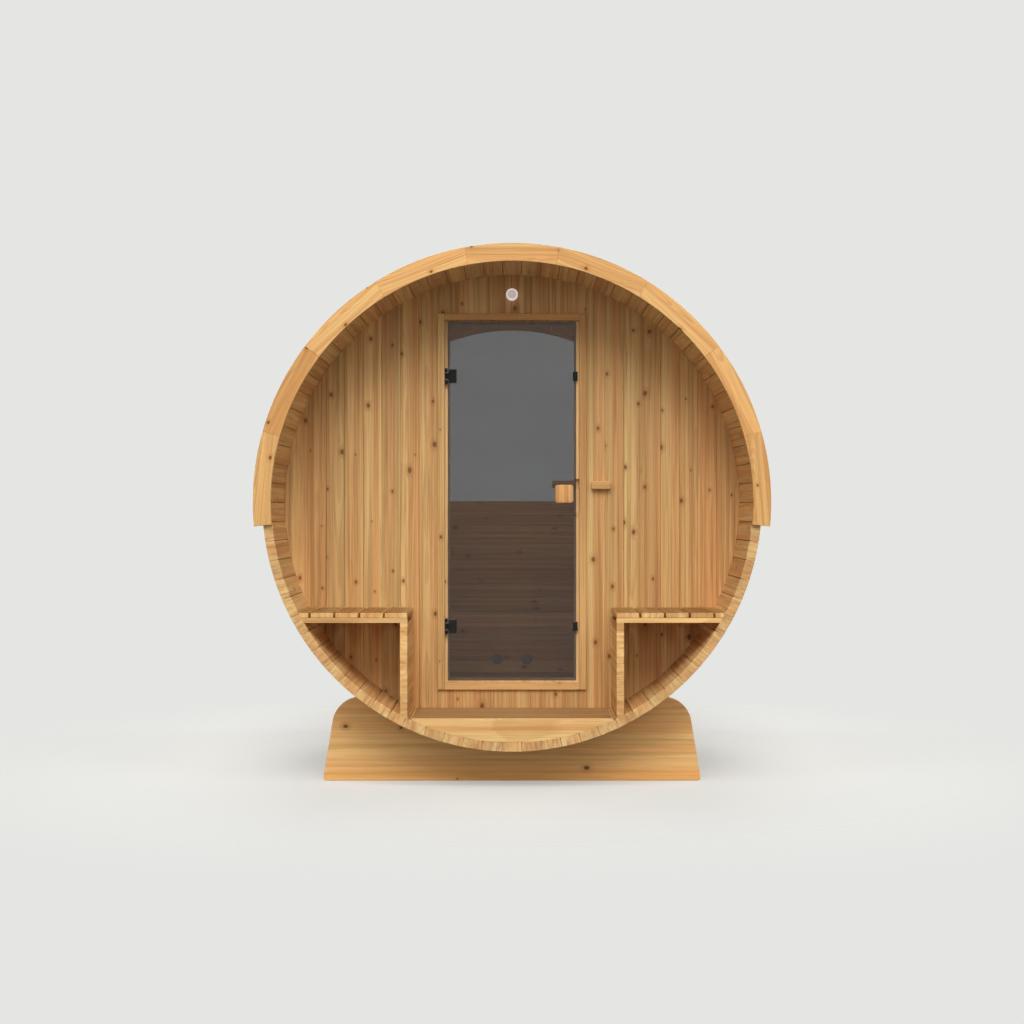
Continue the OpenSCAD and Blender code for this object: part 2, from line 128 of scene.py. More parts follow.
def softwood_group():
    """Planed spruce or pine: year rings round a wandering heart, coloured streaks, fibres and knots.
    Grain holds metres across, along and into the board; Board is a number from 0 to 1 for each board."""
    tree, take, give = shader_group(
        "softwood",
        [("Grain", "NodeSocketVector", None), ("Board", "NodeSocketFloat", 0.5),
         ("Pale", "NodeSocketColor", None), ("Warm", "NodeSocketColor", None),
         ("Late wood", "NodeSocketColor", None), ("Knot", "NodeSocketColor", None),
         ("Ring pitch", "NodeSocketFloat", 0.0045),
         ("Ring depth", "NodeSocketFloat", 0.5), ("Swirl", "NodeSocketFloat", 1.0),
         ("Streaks", "NodeSocketFloat", 1.0),
         ("Knot share", "NodeSocketFloat", 0.5), ("Knot size", "NodeSocketFloat", 0.006)],
        [("Color", "NodeSocketColor"), ("Roughness", "NodeSocketFloat"), ("Height", "NodeSocketFloat")])
    grain = take["Grain"]
    place = add(tree, "ShaderNodeSeparateXYZ", {0: grain}).outputs
    across, along, depth = place

    # Knots: one now and then in a field of cells, each a round branch that runs through the board
    cell_w, cell_l = 0.095, 0.36
    in_cells = vector_calc(tree, "MULTIPLY", grain, (1 / cell_w, 1 / cell_l, 0.0))
    cells = add(tree, "ShaderNodeTexVoronoi", {"Vector": in_cells, "Scale": 1.0, "Randomness": 0.85},
                voronoi_dimensions="2D", feature="F1").outputs
    centre = vector_calc(tree, "MULTIPLY", cells["Position"], (cell_w, cell_l, 0.0))
    flat = vector_calc(tree, "MULTIPLY", grain, (1.0, 1.0, 0.0))
    apart = vector_calc(tree, "SUBTRACT", flat, centre)
    away = vector_calc(tree, "LENGTH", vector_calc(tree, "MULTIPLY", apart, (1.0, 0.72, 0.0)))
    ragged = noise(tree, vector_calc(tree, "MULTIPLY", grain, (160.0, 90.0, 60.0)), detail=1.0)
    away = calc(tree, "ADD", away, calc(tree, "MULTIPLY_ADD", ragged, 0.006, -0.003))
    dice = add(tree, "ShaderNodeSeparateColor", {0: cells["Color"]}).outputs
    there = calc(tree, "LESS_THAN", dice["Red"], take["Knot share"])
    size = calc(tree, "MULTIPLY", take["Knot size"], calc(tree, "MULTIPLY_ADD", dice["Green"], 0.95, 0.35))

    def fades(outer, inner):
        """Full inside one share of the knot's size, and nothing outside another."""
        rim, middle = calc(tree, "MULTIPLY", size, outer), calc(tree, "MULTIPLY", size, inner)
        return calc(tree, "MULTIPLY", there, ramp(tree, away, rim, middle))

    core, halo = fades(1.3, 0.6), fades(3.6, 0.9)

    # Year rings: distance from the heart, which wanders along the board and bends round knots
    wander = add(tree, "ShaderNodeTexNoise", {"W": along, "Scale": 1.6, "Detail": 1.0}, noise_dimensions="1D")
    wander = add(tree, "ShaderNodeSeparateColor", {0: wander.outputs["Color"]}).outputs
    sideways = calc(tree, "MULTIPLY_ADD", wander["Red"], 0.07, -0.035)
    inwards = calc(tree, "MULTIPLY_ADD", wander["Green"], 0.05, -0.025)
    side = calc(tree, "MULTIPLY_ADD", sideways, take["Swirl"], across)
    down = calc(tree, "MULTIPLY_ADD", inwards, take["Swirl"], depth)
    squares = calc(tree, "ADD", calc(tree, "MULTIPLY", side, side), calc(tree, "MULTIPLY", down, down))
    wobble = noise(tree, vector_calc(tree, "MULTIPLY", grain, (22.0, 3.0, 22.0)), detail=2.0)
    wobble = calc(tree, "MULTIPLY_ADD", wobble, 0.010, -0.005)
    reach = calc(tree, "MULTIPLY_ADD", wobble, take["Swirl"], calc(tree, "SQRT", squares))
    reach = calc(tree, "ADD", reach, calc(tree, "MULTIPLY", halo, 0.006))
    year = calc(tree, "DIVIDE", reach, take["Ring pitch"])
    part = calc(tree, "FRACT", year)
    strength = add(tree, "ShaderNodeTexWhiteNoise", {"W": calc(tree, "FLOOR", year)}, noise_dimensions="1D")
    late = calc(tree, "MULTIPLY", ramp(tree, part, 0.30, 0.88), ramp(tree, part, 1.0, 0.93))
    late = calc(tree, "MULTIPLY", late, calc(tree, "MULTIPLY_ADD", strength.outputs["Value"], 0.7, 0.3))

    # Streaks of warmer, paler and darker wood, thin dark lines and fibres, all drawn out along the board
    hue = noise(tree, vector_calc(tree, "MULTIPLY", grain, (24.0, 0.35, 8.0)), detail=2.0)
    streak = noise(tree, vector_calc(tree, "MULTIPLY", grain, (62.0, 0.85, 10.0)), detail=3.0, rough=0.62)
    line = noise(tree, vector_calc(tree, "MULTIPLY", grain, (170.0, 2.2, 24.0)), detail=1.0)
    fibre = noise(tree, vector_calc(tree, "MULTIPLY", grain, (900.0, 16.0, 110.0)), detail=2.0)
    warmth = calc(tree, "MULTIPLY_ADD", take["Board"], 0.44, -0.22)
    warmth = calc(tree, "ADD", ramp(tree, hue, 0.36, 0.64, kind="LINEAR"), warmth)
    colour = blend(tree, add(tree, "ShaderNodeClamp", {0: warmth}).outputs[0], take["Pale"], take["Warm"])
    colour = blend(tree, calc(tree, "MULTIPLY", late, take["Ring depth"]), colour, take["Late wood"])
    dim = calc(tree, "MULTIPLY", take["Streaks"], ramp(tree, streak, 0.42, 0.70, 0.0, 0.55))
    colour = blend(tree, dim, colour, take["Late wood"])
    lines = calc(tree, "MULTIPLY", take["Streaks"], ramp(tree, line, 0.60, 0.74, 0.0, 0.50))
    colour = blend(tree, lines, colour, take["Late wood"])
    second = add(tree, "ShaderNodeTexWhiteNoise", {"W": calc(tree, "MULTIPLY", take["Board"], 913.0)},
                 noise_dimensions="1D").outputs["Value"]
    light = calc(tree, "MULTIPLY", take["Streaks"], ramp(tree, streak, 0.46, 0.26, 0.0, 0.10, "LINEAR"))
    shade = calc(tree, "ADD", calc(tree, "MULTIPLY_ADD", second, 0.22, 0.87), light)
    shade = calc(tree, "MULTIPLY", shade, ramp(tree, fibre, 0.3, 0.7, 0.95, 1.04, "LINEAR"))
    colour = vector_calc(tree, "MULTIPLY", colour, shade)
    colour = blend(tree, calc(tree, "MULTIPLY", halo, 0.38), colour, take["Late wood"])
    colour = blend(tree, calc(tree, "MULTIPLY", core, 0.90), colour, take["Knot"])
    tree.links.new(colour, give["Color"])
    rough = ramp(tree, fibre, 0.3, 0.7, 0.46, 0.60, "LINEAR")
    rough = calc(tree, "SUBTRACT", rough, calc(tree, "MULTIPLY", late, 0.06))
    tree.links.new(calc(tree, "SUBTRACT", rough, calc(tree, "MULTIPLY", core, 0.12)), give["Roughness"])
    height = calc(tree, "ADD", calc(tree, "MULTIPLY", late, 0.45), calc(tree, "MULTIPLY", fibre, 0.45))
    tree.links.new(calc(tree, "ADD", height, calc(tree, "MULTIPLY", core, 0.6)), give["Height"])
    return tree


softwood = softwood_group()


def empty_finish(name):
    """A material with nothing in it yet, and its node tree."""
    finish = bpy.data.materials.new(name)
    finish.use_nodes = True
    finish.node_tree.nodes.clear()
    return finish, finish.node_tree


def surface_of(tree, feeds):
    """The one shader that a material ends in."""
    surface = add(tree, "ShaderNodeBsdfPrincipled", feeds)
    add(tree, "ShaderNodeOutputMaterial", {"Surface": surface.outputs[0]})
    return surface


def board_grain(tree):
    """What each board carries: its place in the tree that it was sawn from, and its own number."""
    grain = add(tree, "ShaderNodeAttribute", attribute_name="grain").outputs["Vector"]
    return grain, add(tree, "ShaderNodeAttribute", attribute_name="board").outputs["Fac"]


def wood_finish(name, pale, warm, late, knot=(106, 66, 32), pitch=0.0045, depth=0.5, swirl=0.3, streaks=1.0,
                knots=0.6, size=0.006):
    """Clear-oiled softwood in this piece's own tones, on the grain that each board carries."""
    finish, tree = empty_finish(name)
    grain, board = board_grain(tree)
    wood = add(tree, "ShaderNodeGroup", node_tree=softwood)
    feeds = {"Grain": grain, "Board": board}
    values = {"Pale": srgb(*pale), "Warm": srgb(*warm), "Late wood": srgb(*late), "Knot": srgb(*knot),
              "Ring pitch": pitch, "Ring depth": depth, "Swirl": swirl, "Streaks": streaks,
              "Knot share": knots, "Knot size": size}
    for label, value in feeds.items():
        tree.links.new(value, wood.inputs[label])
    for label, value in values.items():
        wood.inputs[label].default_value = value
    relief = add(tree, "ShaderNodeBump", {"Strength": 0.35, "Distance": 0.0008, "Height": wood.outputs["Height"]})
    surface_of(tree, {
        "Base Color": wood.outputs["Color"], "Roughness": wood.outputs["Roughness"], "Normal": relief.outputs[0],
        "IOR": 1.45, "Specular IOR Level": 0.3})
    return finish


def put(name, mesh, slot, *stands_for, body="root", finish=None):
    """Shows a finished mesh as a piece on a body, in place of the nodes it stands for."""
    piece = bpy.data.objects.new(name, mesh)
    bpy.context.scene.collection.objects.link(piece)
    if finish is not None:
        mesh.materials.clear()
        mesh.materials.append(finish)
    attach(piece, body)
    if stands_for:
        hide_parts(*stands_for)
    return piece


def give_grain(mesh, along, across, seed, heart=(0.0, 0.0, 0.0), spread=0.05):
    """Gives every loose part of a mesh its own piece of tree: where along and across run in it, and a number."""
    dice = random.Random(seed)
    along, across = Vector(along), Vector(across)
    axes = Matrix((across, along, across.cross(along)))
    owner = list(range(len(mesh.vertices)))

    def root(i):
        while owner[i] != i:
            owner[i] = owner[owner[i]]
            i = owner[i]
        return i

    for edge in mesh.edges:
        owner[root(edge.vertices[0])] = root(edge.vertices[1])
    shifts, grain, board = {}, [], []
    for i, vertex in enumerate(mesh.vertices):
        part = root(i)
        if part not in shifts:
            shift = Vector((dice.uniform(-spread, spread), dice.uniform(0, 60), dice.uniform(0.02, 0.10)))
            shifts[part] = shift, dice.random()
        grain.extend(axes @ (vertex.co - Vector(heart)) + shifts[part][0])
        board.append(shifts[part][1])
    mesh.attributes.new("grain", "FLOAT_VECTOR", "POINT").data.foreach_set("vector", grain)
    mesh.attributes.new("board", "FLOAT", "POINT").data.foreach_set("value", board)
    return mesh


def eased_copy(node, edge, steps=2, sharp=35):
    """A copy of a CAD node's mesh with its sharp edges rounded off."""
    shape = bmesh.new()
    shape.from_mesh(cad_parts[node].data)
    bmesh.ops.remove_doubles(shape, verts=shape.verts, dist=1e-5)
    bmesh.ops.dissolve_limit(shape, angle_limit=math.radians(0.6), verts=shape.verts, edges=shape.edges)
    corners = [e for e in shape.edges if len(e.link_faces) == 2 and e.calc_face_angle() > math.radians(sharp)]
    bmesh.ops.bevel(shape, geom=corners, offset=edge, segments=steps, profile=0.5, affect="EDGES",
                    clamp_overlap=True)
    mesh = bpy.data.meshes.new(node + "_eased")
    shape.to_mesh(mesh)
    shape.free()
    for name in [a.name for a in mesh.attributes if a.name.startswith("UVMap")]:
        mesh.attributes.remove(mesh.attributes[name])
    return mesh


def multiply_colour(finish, share, shade):
    """Multiplies a finish's colour by shade, as much as share says."""
    tree = finish.node_tree
    shader = next(n for n in tree.nodes if n.type == "BSDF_PRINCIPLED")
    bare = shader.inputs["Base Color"].links[0].from_socket
    multiplied = vector_calc(tree, "MULTIPLY", bare, shade)
    tree.links.new(blend(tree, share, bare, multiplied), shader.inputs["Base Color"])


cradle_finish = wood_finish("cradle_wood", (250, 208, 140), (242, 186, 120), (196, 138, 80), pitch=0.007,
                            depth=0.22, swirl=0.35, streaks=0.75, size=0.009)
# The lowest few centimetres of each plank are coloured darker and warmer, up to a ragged edge.
FOOT_BAND_TOP, FOOT_BAND_FULL = 0.064, 0.052
tree = cradle_finish.node_tree
place = add(tree, "ShaderNodeTexCoord").outputs["Object"]
height = add(tree, "ShaderNodeSeparateXYZ", {0: place}).outputs[2]
height = calc(tree, "MULTIPLY_ADD", noise(tree, place, scale=3.0), 0.016, height)
multiply_colour(cradle_finish, ramp(tree, height, FOOT_BAND_TOP, FOOT_BAND_FULL), (1.02, 0.90, 0.76))
for number, cradle in enumerate(("cradle_front", "cradle_rear")):
    plank = give_grain(eased_copy(cradle, CRADLE_EDGE), (1, 0, 0), (0, 0, 1), seed=31 + number, heart=(0, 0, 0.2))
    put(cradle + "_plank", plank, "cradle_wood", cradle, finish=cradle_finish)

# Staves
# The barrel is 78 spruce staves, 42 mm thick, planed to a wedge and tongued and grooved into each other.
# Their faces are flat, so the barrel is a fine polygon, with a small V where two staves meet.
STAVE_COUNT = 78
STAVE_EDGE, STAVE_GROOVE = 0.0016, 0.0060
SEAM = 0.00025
shell_nodes = [f"staves_{i:02d}" for i in range(1, 13)]
shell_boxes = [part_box(n) for n in shell_nodes]
barrel_low = min(low.z for low, high in shell_boxes)
barrel_high = max(high.z for low, high in shell_boxes)
barrel_front = min(low.y for low, high in shell_boxes)
barrel_rear = max(high.y for low, high in shell_boxes)
barrel_r = (barrel_high - barrel_low) / 2
axis_z = (barrel_high + barrel_low) / 2
LINING_GAP = 0.0003
lining_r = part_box("rear_wall")[1].x
inner_r = lining_r + LINING_GAP


def columns(wide_back, wide_front, back, front, edge, between=0, deep=None):
    """Cross-section of a board as pairs of points, back and front, with its four edges taken off, deep into it."""
    deep = deep or edge
    shares = [-1.0] + [-1 + 2 * (k + 1) / (between + 1) for k in range(between)] + [1.0]
    pairs = [((-wide_back / 2, back + deep), (-wide_front / 2, front - deep))]
    for share in shares:
        pairs.append(((share * (wide_back / 2 - edge), back), (share * (wide_front / 2 - edge), front)))
    pairs.append(((wide_back / 2, back + deep), (wide_front / 2, front - deep)))
    return pairs


def ends(length, edge, start=0.0, between=0):
    """Stations along a board, each a place and how far the section is drawn in there."""
    stations = [(start, edge), (start + edge, 0.0)]
    stations += [(start + edge + (length - 2 * edge) * (k + 1) / (between + 1), 0.0) for k in range(between)]
    return stations + [(start + length - edge, 0.0), (start + length, edge)]


def board_mesh(name, pairs, stations, place=None):
    """A board: pairs of points across it, carried through stations along it. Place may bend it."""
    points = [p for pair in pairs for p in pair]
    mid_x = (min(p[0] for p in points) + max(p[0] for p in points)) / 2
    mid_z = (min(p[1] for p in points) + max(p[1] for p in points)) / 2
    half_x = max(p[0] for p in points) - mid_x
    half_z = max(p[1] for p in points) - mid_z
    place = place or (lambda x, y, z: (x, y, z))
    shape = bmesh.new()
    grid = []
    for y, inset in stations:
        row = []
        for pair in pairs:
            row.append([shape.verts.new(place(mid_x + (x - mid_x) * (1 - inset / half_x), y,
                                              mid_z + (z - mid_z) * (1 - inset / half_z))) for x, z in pair])
        grid.append(row)
    for near, far in zip(grid, grid[1:]):
        for side in (0, 1):
            for a, b in zip(range(len(pairs)), range(1, len(pairs))):
                shape.faces.new((near[a][side], near[b][side], far[b][side], far[a][side]))
        for edge in (0, len(pairs) - 1):
            shape.faces.new((near[edge][0], near[edge][1], far[edge][1], far[edge][0]))
    for row in (grid[0], grid[-1]):
        for a, b in zip(row, row[1:]):
            shape.faces.new((a[0], b[0], b[1], a[1]))
    bmesh.ops.recalc_face_normals(shape, faces=shape.faces)
    mesh = bpy.data.meshes.new(name)
    shape.to_mesh(mesh)
    shape.free()
    return mesh


def boards_tree():
    """Geometry nodes that lay copies of one board in rows, give each its own grain, and trim them to the round
    of the barrel and to a box."""
    tree = bpy.data.node_groups.new("lay_boards", "GeometryNodeTree")
    tree.interface.new_socket("Boards", in_out="OUTPUT", socket_type="NodeSocketGeometry")
    for label, kind, value in [
            ("Board", "NodeSocketGeometry", None), ("Count", "NodeSocketInt", 1),
            ("Row length", "NodeSocketInt", 100000),
            ("First", "NodeSocketVector", (0, 0, 0)), ("Step", "NodeSocketVector", (0, 0, 0)),
            ("Turn", "NodeSocketVector", (0, 0, 0)), ("Step turn", "NodeSocketVector", (0, 0, 0)),
            ("Row turn", "NodeSocketVector", (0, 0, 0)), ("Stagger", "NodeSocketVector", (0, 0, 0)),
            ("Heart", "NodeSocketVector", (0, 0, 0)), ("Across", "NodeSocketVector", (1, 0, 0)),
            ("Along", "NodeSocketVector", (0, 1, 0)), ("Spread", "NodeSocketFloat", 0.05),
            ("Round", "NodeSocketFloat", 50.0), ("Axis height", "NodeSocketFloat", 0.0),
            ("Upright", "NodeSocketBool", False), ("Low", "NodeSocketVector", (-50, -50, -50)),
            ("High", "NodeSocketVector", (50, 50, 50)), ("Seed", "NodeSocketInt", 1),
            ("Finish", "NodeSocketMaterial", None)]:
        socket = tree.interface.new_socket(label, in_out="INPUT", socket_type=kind)
        if value is not None:
            socket.default_value = value
    take = tree.nodes.new("NodeGroupInput").outputs
    position = add(tree, "GeometryNodeInputPosition").outputs[0]

    def store(geometry, name, kind, domain, value):
        made = add(tree, "GeometryNodeStoreNamedAttribute", {"Geometry": geometry, "Name": name, "Value": value},
                   data_type=kind, domain=domain)
        return made.outputs["Geometry"]

    def read(name):
        made = add(tree, "GeometryNodeInputNamedAttribute", {"Name": name}, data_type="FLOAT_VECTOR")
        return made.outputs["Attribute"]

    # Grain of the one board, measured from where its heart would be
    local = vector_calc(tree, "SUBTRACT", position, take["Heart"])
    inward = vector_calc(tree, "CROSS_PRODUCT", take["Across"], take["Along"])
    measures = [vector_calc(tree, "DOT_PRODUCT", local, axis) for axis in (take["Across"], take["Along"], inward)]
    grain = add(tree, "ShaderNodeCombineXYZ", enumerate(measures)).outputs[0]
    board = store(take["Board"], "grain", "FLOAT_VECTOR", "POINT", grain)

    # Copies in rows
    index = add(tree, "GeometryNodeInputIndex").outputs[0]
    row = calc(tree, "FLOOR", calc(tree, "DIVIDE", index, take["Row length"]))
    place = calc(tree, "SUBTRACT", index, calc(tree, "MULTIPLY", row, take["Row length"]))
    odd = calc(tree, "MODULO", row, 2.0)
    where = vector_calc(tree, "MULTIPLY_ADD", take["Step"], place, take["First"])
    where = vector_calc(tree, "MULTIPLY_ADD", take["Stagger"], odd, where)
    turn = vector_calc(tree, "MULTIPLY_ADD", take["Step turn"], place, take["Turn"])
    turn = vector_calc(tree, "MULTIPLY_ADD", take["Row turn"], row, turn)
    points = add(tree, "GeometryNodePoints", {"Count": take["Count"], "Position": where}).outputs[0]
    turned = add(tree, "FunctionNodeEulerToRotation", {0: turn}).outputs[0]
    copies = add(tree, "GeometryNodeInstanceOnPoints", {"Points": points, "Instance": board, "Rotation": turned})
    chance = add(tree, "FunctionNodeRandomValue", {"Seed": take["Seed"]}, data_type="FLOAT").outputs
    number = chance["Value"] if "Value" in chance else chance[1]
    copies = store(copies.outputs[0], "board", "FLOAT", "INSTANCE", number)
    back = calc(tree, "MULTIPLY", take["Spread"], -1.0)
    wide = add(tree, "ShaderNodeCombineXYZ", {0: take["Spread"], 1: 60.0, 2: 0.10}).outputs[0]
    narrow = add(tree, "ShaderNodeCombineXYZ", {0: back, 1: 0.0, 2: 0.02}).outputs[0]
    limits = {"Min": narrow, "Max": wide, "Seed": calc(tree, "ADD", take["Seed"], 7.0)}
    shift = add(tree, "FunctionNodeRandomValue", limits, data_type="FLOAT_VECTOR")
    copies = store(copies, "shift", "FLOAT_VECTOR", "INSTANCE", shift.outputs[0])
    for label in ("Across", "Along"):
        way = add(tree, "FunctionNodeRotateVector", {0: take[label], 1: turned}).outputs[0]
        copies = store(copies, label, "FLOAT_VECTOR", "INSTANCE", way)
    laid = add(tree, "GeometryNodeRealizeInstances", {0: copies}).outputs[0]

    # Trimmed: what stands past the round comes back to it, along X or upright, and so does what is past the box
    x, y, z = add(tree, "ShaderNodeSeparateXYZ", {0: position}).outputs
    rise = calc(tree, "SUBTRACT", z, take["Axis height"])

    def reach(other_way):
        """How far the round reaches at this distance from its middle the other way."""
        full = calc(tree, "MULTIPLY", take["Round"], take["Round"])
        room = calc(tree, "SUBTRACT", full, calc(tree, "MULTIPLY", other_way, other_way))
        return calc(tree, "SQRT", calc(tree, "MAXIMUM", room, 0.0))

    def held(value, limit):
        other_limit = calc(tree, "MULTIPLY", limit, -1.0)
        return add(tree, "ShaderNodeClamp", {0: value, 1: other_limit, 2: limit}).outputs[0]

    level = add(tree, "ShaderNodeCombineXYZ", {0: held(x, reach(rise)), 1: y, 2: z}).outputs[0]
    top = calc(tree, "ADD", held(rise, reach(x)), take["Axis height"])
    plumb = add(tree, "ShaderNodeCombineXYZ", {0: held(x, take["Round"]), 1: y, 2: top}).outputs[0]
    to_round = add(tree, "GeometryNodeSwitch", {0: take["Upright"], 1: level, 2: plumb}, input_type="VECTOR")
    boxed = vector_calc(tree, "MAXIMUM", to_round.outputs[0], take["Low"])
    boxed = vector_calc(tree, "MINIMUM", boxed, take["High"])
    moved = vector_calc(tree, "SUBTRACT", boxed, position)
    slides = [vector_calc(tree, "DOT_PRODUCT", moved, read(label)) for label in ("Across", "Along")]
    slid = add(tree, "ShaderNodeCombineXYZ", enumerate(slides)).outputs[0]
    kept = vector_calc(tree, "ADD", vector_calc(tree, "ADD", read("grain"), read("shift")), slid)
    laid = store(laid, "grain", "FLOAT_VECTOR", "POINT", kept)
    laid = add(tree, "GeometryNodeSetPosition", {"Geometry": laid, "Position": boxed}).outputs[0]
    for label in ("shift", "Across", "Along"):
        laid = add(tree, "GeometryNodeRemoveAttribute", {"Geometry": laid, "Name": label}).outputs[0]
    laid = add(tree, "GeometryNodeMergeByDistance", {"Geometry": laid, "Distance": 0.00004}).outputs[0]
    laid = add(tree, "GeometryNodeSetMaterial", {"Geometry": laid, "Material": take["Finish"]}).outputs[0]
    add(tree, "NodeGroupOutput", {0: laid})
    return tree


lay_boards = boards_tree()


def lay(name, board, finish, slot, stands_for=(), body="root", **sizes):
    """Runs the board through the nodes with these sizes, and shows the plain mesh that comes out."""
    host = bpy.data.objects.new(name + "_board", board)
    bpy.context.scene.collection.objects.link(host)
    layer = host.modifiers.new("lay_boards", "NODES")
    layer.node_group = lay_boards
    sizes["Finish"] = finish
    named = {s.name: s.identifier for s in lay_boards.interface.items_tree if s.in_out == "INPUT"}
    for label, value in sizes.items():
        layer[named[label.replace("_", " ")]] = value
    laid = bpy.data.meshes.new_from_object(host.evaluated_get(bpy.context.evaluated_depsgraph_get()))
    bpy.data.objects.remove(host)
    laid.name = name
    return put(name, laid, slot, *stands_for, body=body, finish=finish)


STAVE_END = 0.0015
half_pitch = math.pi / STAVE_COUNT
stave_section = columns(
    2 * (inner_r * math.sin(half_pitch) - SEAM), 2 * (barrel_r * math.sin(half_pitch) - SEAM),
    inner_r * math.cos(half_pitch), barrel_r * math.cos(half_pitch), STAVE_EDGE, deep=STAVE_GROOVE)
stave = board_mesh("stave", stave_section, ends(barrel_rear - barrel_front, STAVE_END, barrel_front))
stave_finish = wood_finish("barrel_wood", (234, 198, 136), (219, 167, 110), (164, 111, 64), depth=0.35)
lay("barrel_staves", stave, stave_finish, "barrel_wood", shell_nodes, Count=STAVE_COUNT,
    First=(0.0, 0.0, axis_z), Step_turn=(0.0, 2 * half_pitch, 0.0), Turn=(0.0, math.pi, 0.0),
    Heart=(0.0, 0.0, inner_r), Seed=4)

# Rear wall
# Twelve lying boards, 42 mm thick and tongued and grooved, stand in a groove of the staves up to the sill.
# Their ends are cut to the round.
BOARD_EDGE = 0.0016
rear_low, rear_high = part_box("rear_wall")
REAR_BOARDS = 12
rear_pitch = (rear_high.z - rear_low.z) / REAR_BOARDS
LYING = tuple(Matrix(((0, 1, 0), (0, 0, 1), (1, 0, 0))).to_euler())
UPRIGHT = (math.pi / 2, 0.0, 0.0)
wall_finish = wood_finish("wall_wood", (216, 180, 120), (208, 156, 100), (154, 104, 58), knot=(118, 74, 36),
                          depth=0.28, swirl=0.26, knots=0.85, size=0.0078)
rear_board = board_mesh("rear_board", columns(rear_pitch - 2 * SEAM, rear_pitch - 2 * SEAM, 0.0,
                                              rear_high.y - rear_low.y, BOARD_EDGE, between=3),
                        ends(2 * inner_r, BOARD_EDGE, -inner_r))
lay("rear_wall_boards", rear_board, wall_finish, "wall_wood", ["rear_wall"], Count=REAR_BOARDS,
    First=(0.0, rear_low.y, rear_low.z + rear_pitch / 2), Step=(0.0, 0.0, rear_pitch), Turn=LYING,
    Round=lining_r, Axis_height=axis_z, Seed=9)

# Rear window
# A half-moon pane of clear glass, 8 mm thick, stands on the top board. Seven curved pieces of wood, sawn from
# plank, hold it against the staves.
RIM_PARTS, RIM_WIDTH = 7, 0.070
RIM_EDGE, RIM_JOINT = 0.002, 0.001
rim_low, rim_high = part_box("rear_window_rim")
rim_reach = math.pi / 2 - math.asin((rear_high.z - axis_z) / lining_r) - math.radians(0.5)


def arch_board(name, low_r, high_r, sweep, low_y, high_y, edge, gap):
    """A curved piece at the top of an arch, sawn out of straight plank."""
    mid_r = (low_r + high_r) / 2
    length = sweep * mid_r - gap

    def bent(x, y, z):
        return (mid_r + x) * math.sin(y / mid_r), z, (mid_r + x) * math.cos(y / mid_r)

    return board_mesh(name, columns(high_r - low_r, high_r - low_r, low_y, high_y, edge),
                      ends(length, edge, -length / 2, between=10), bent)


rim_sweep = 2 * rim_reach / RIM_PARTS
rim_board = arch_board("rim_board", lining_r - RIM_WIDTH, lining_r, rim_sweep, rim_low.y, rim_high.y,
                       RIM_EDGE, RIM_JOINT)
lay("rear_window_arch", rim_board, wall_finish, "wall_wood", ["rear_window_rim"], Count=RIM_PARTS,
    First=(0.0, 0.0, axis_z), Turn=(0.0, rim_sweep / 2 - rim_reach, 0.0), Step_turn=(0.0, rim_sweep, 0.0),
    Heart=(0.0, rim_low.y, lining_r - RIM_WIDTH / 2), Across=(0.0, 0.0, 1.0), Along=(1.0, 0.0, 0.0), Seed=12)


def glass_finish(name, tint, wave=0.02):
    """Clear or tinted float glass, with the faint waves of its making."""
    finish, tree = empty_finish(name)
    place = add(tree, "ShaderNodeTexCoord").outputs["Object"]
    waves = noise(tree, vector_calc(tree, "MULTIPLY", place, (1.6, 1.6, 5.0)), detail=1.0)
    deep = tuple(c * 0.96 for c in srgb(*tint)[:3]) + (1.0,)
    colour = blend(tree, ramp(tree, waves, 0.3, 0.7), srgb(*tint), deep)
    relief = add(tree, "ShaderNodeBump", {"Strength": wave, "Distance": 0.002, "Height": waves})
    surface_of(tree, {
        "Base Color": colour, "Roughness": 0.0, "IOR": 1.45, "Transmission Weight": 1.0,
        "Normal": relief.outputs[0]})
    return finish


def refinish(node, finish):
    """Keeps a CAD node's shape and gives it a finish."""
    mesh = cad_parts[node].data
    mesh.materials.clear()
    mesh.materials.append(finish)


refinish("rear_window_glass", glass_finish("window_glass", (236, 240, 238)))

# Vents
# Round covers of grey moulded plastic, 61 mm across, on both faces of the rear wall near the floor.
# Each is a shallow dome on a flat rim, and snaps over its hole.
VENT_R, VENT_RIM, VENT_LIP, VENT_EASE = 0.0305, 0.004, 0.0035, 0.0010
VENT_STEPS = 9
vent_low, vent_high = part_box("rear_vents")
dome_rise = rear_low.y - vent_low.y - 0.0002 - VENT_RIM


def loft(shape, rings, around=False):
    """Skins a row of rings of points. The ends are closed unless the rings go all the way around."""
    rows = [[shape.verts.new(p) for p in ring] for ring in rings]
    pairs = list(zip(rows, rows[1:])) + ([(rows[-1], rows[0])] if around else [])
    for near, far in pairs:
        for i in range(len(near)):
            j = (i + 1) % len(near)
            shape.faces.new((near[i], near[j], far[j], far[i]))
    if not around:
        shape.faces.new(rows[0][::-1])
        shape.faces.new(rows[-1])


def turned(shape, centre, axis, profile, steps=40):
    """A turned part: profile gives its radius and its place along the axis, from the back to the front."""
    spin = Vector((0, 0, 1)).rotation_difference(Vector(axis)).to_matrix()
    rings = []
    for radius, rise in profile:
        rings.append([Vector(centre) + spin @ Vector((radius * math.cos(t), radius * math.sin(t), rise))
                      for t in (2 * math.pi * k / steps for k in range(steps))])
    loft(shape, rings)


def made_of(name, shape, smooth=40):
    """The finished mesh of a shape, smooth except at corners sharper than the angle."""
    bmesh.ops.recalc_face_normals(shape, faces=shape.faces)
    mesh = bpy.data.meshes.new(name)
    shape.to_mesh(mesh)
    shape.free()
    if smooth:
        mesh.shade_smooth()
        mesh.set_sharp_from_angle(angle=math.radians(smooth))
    return mesh


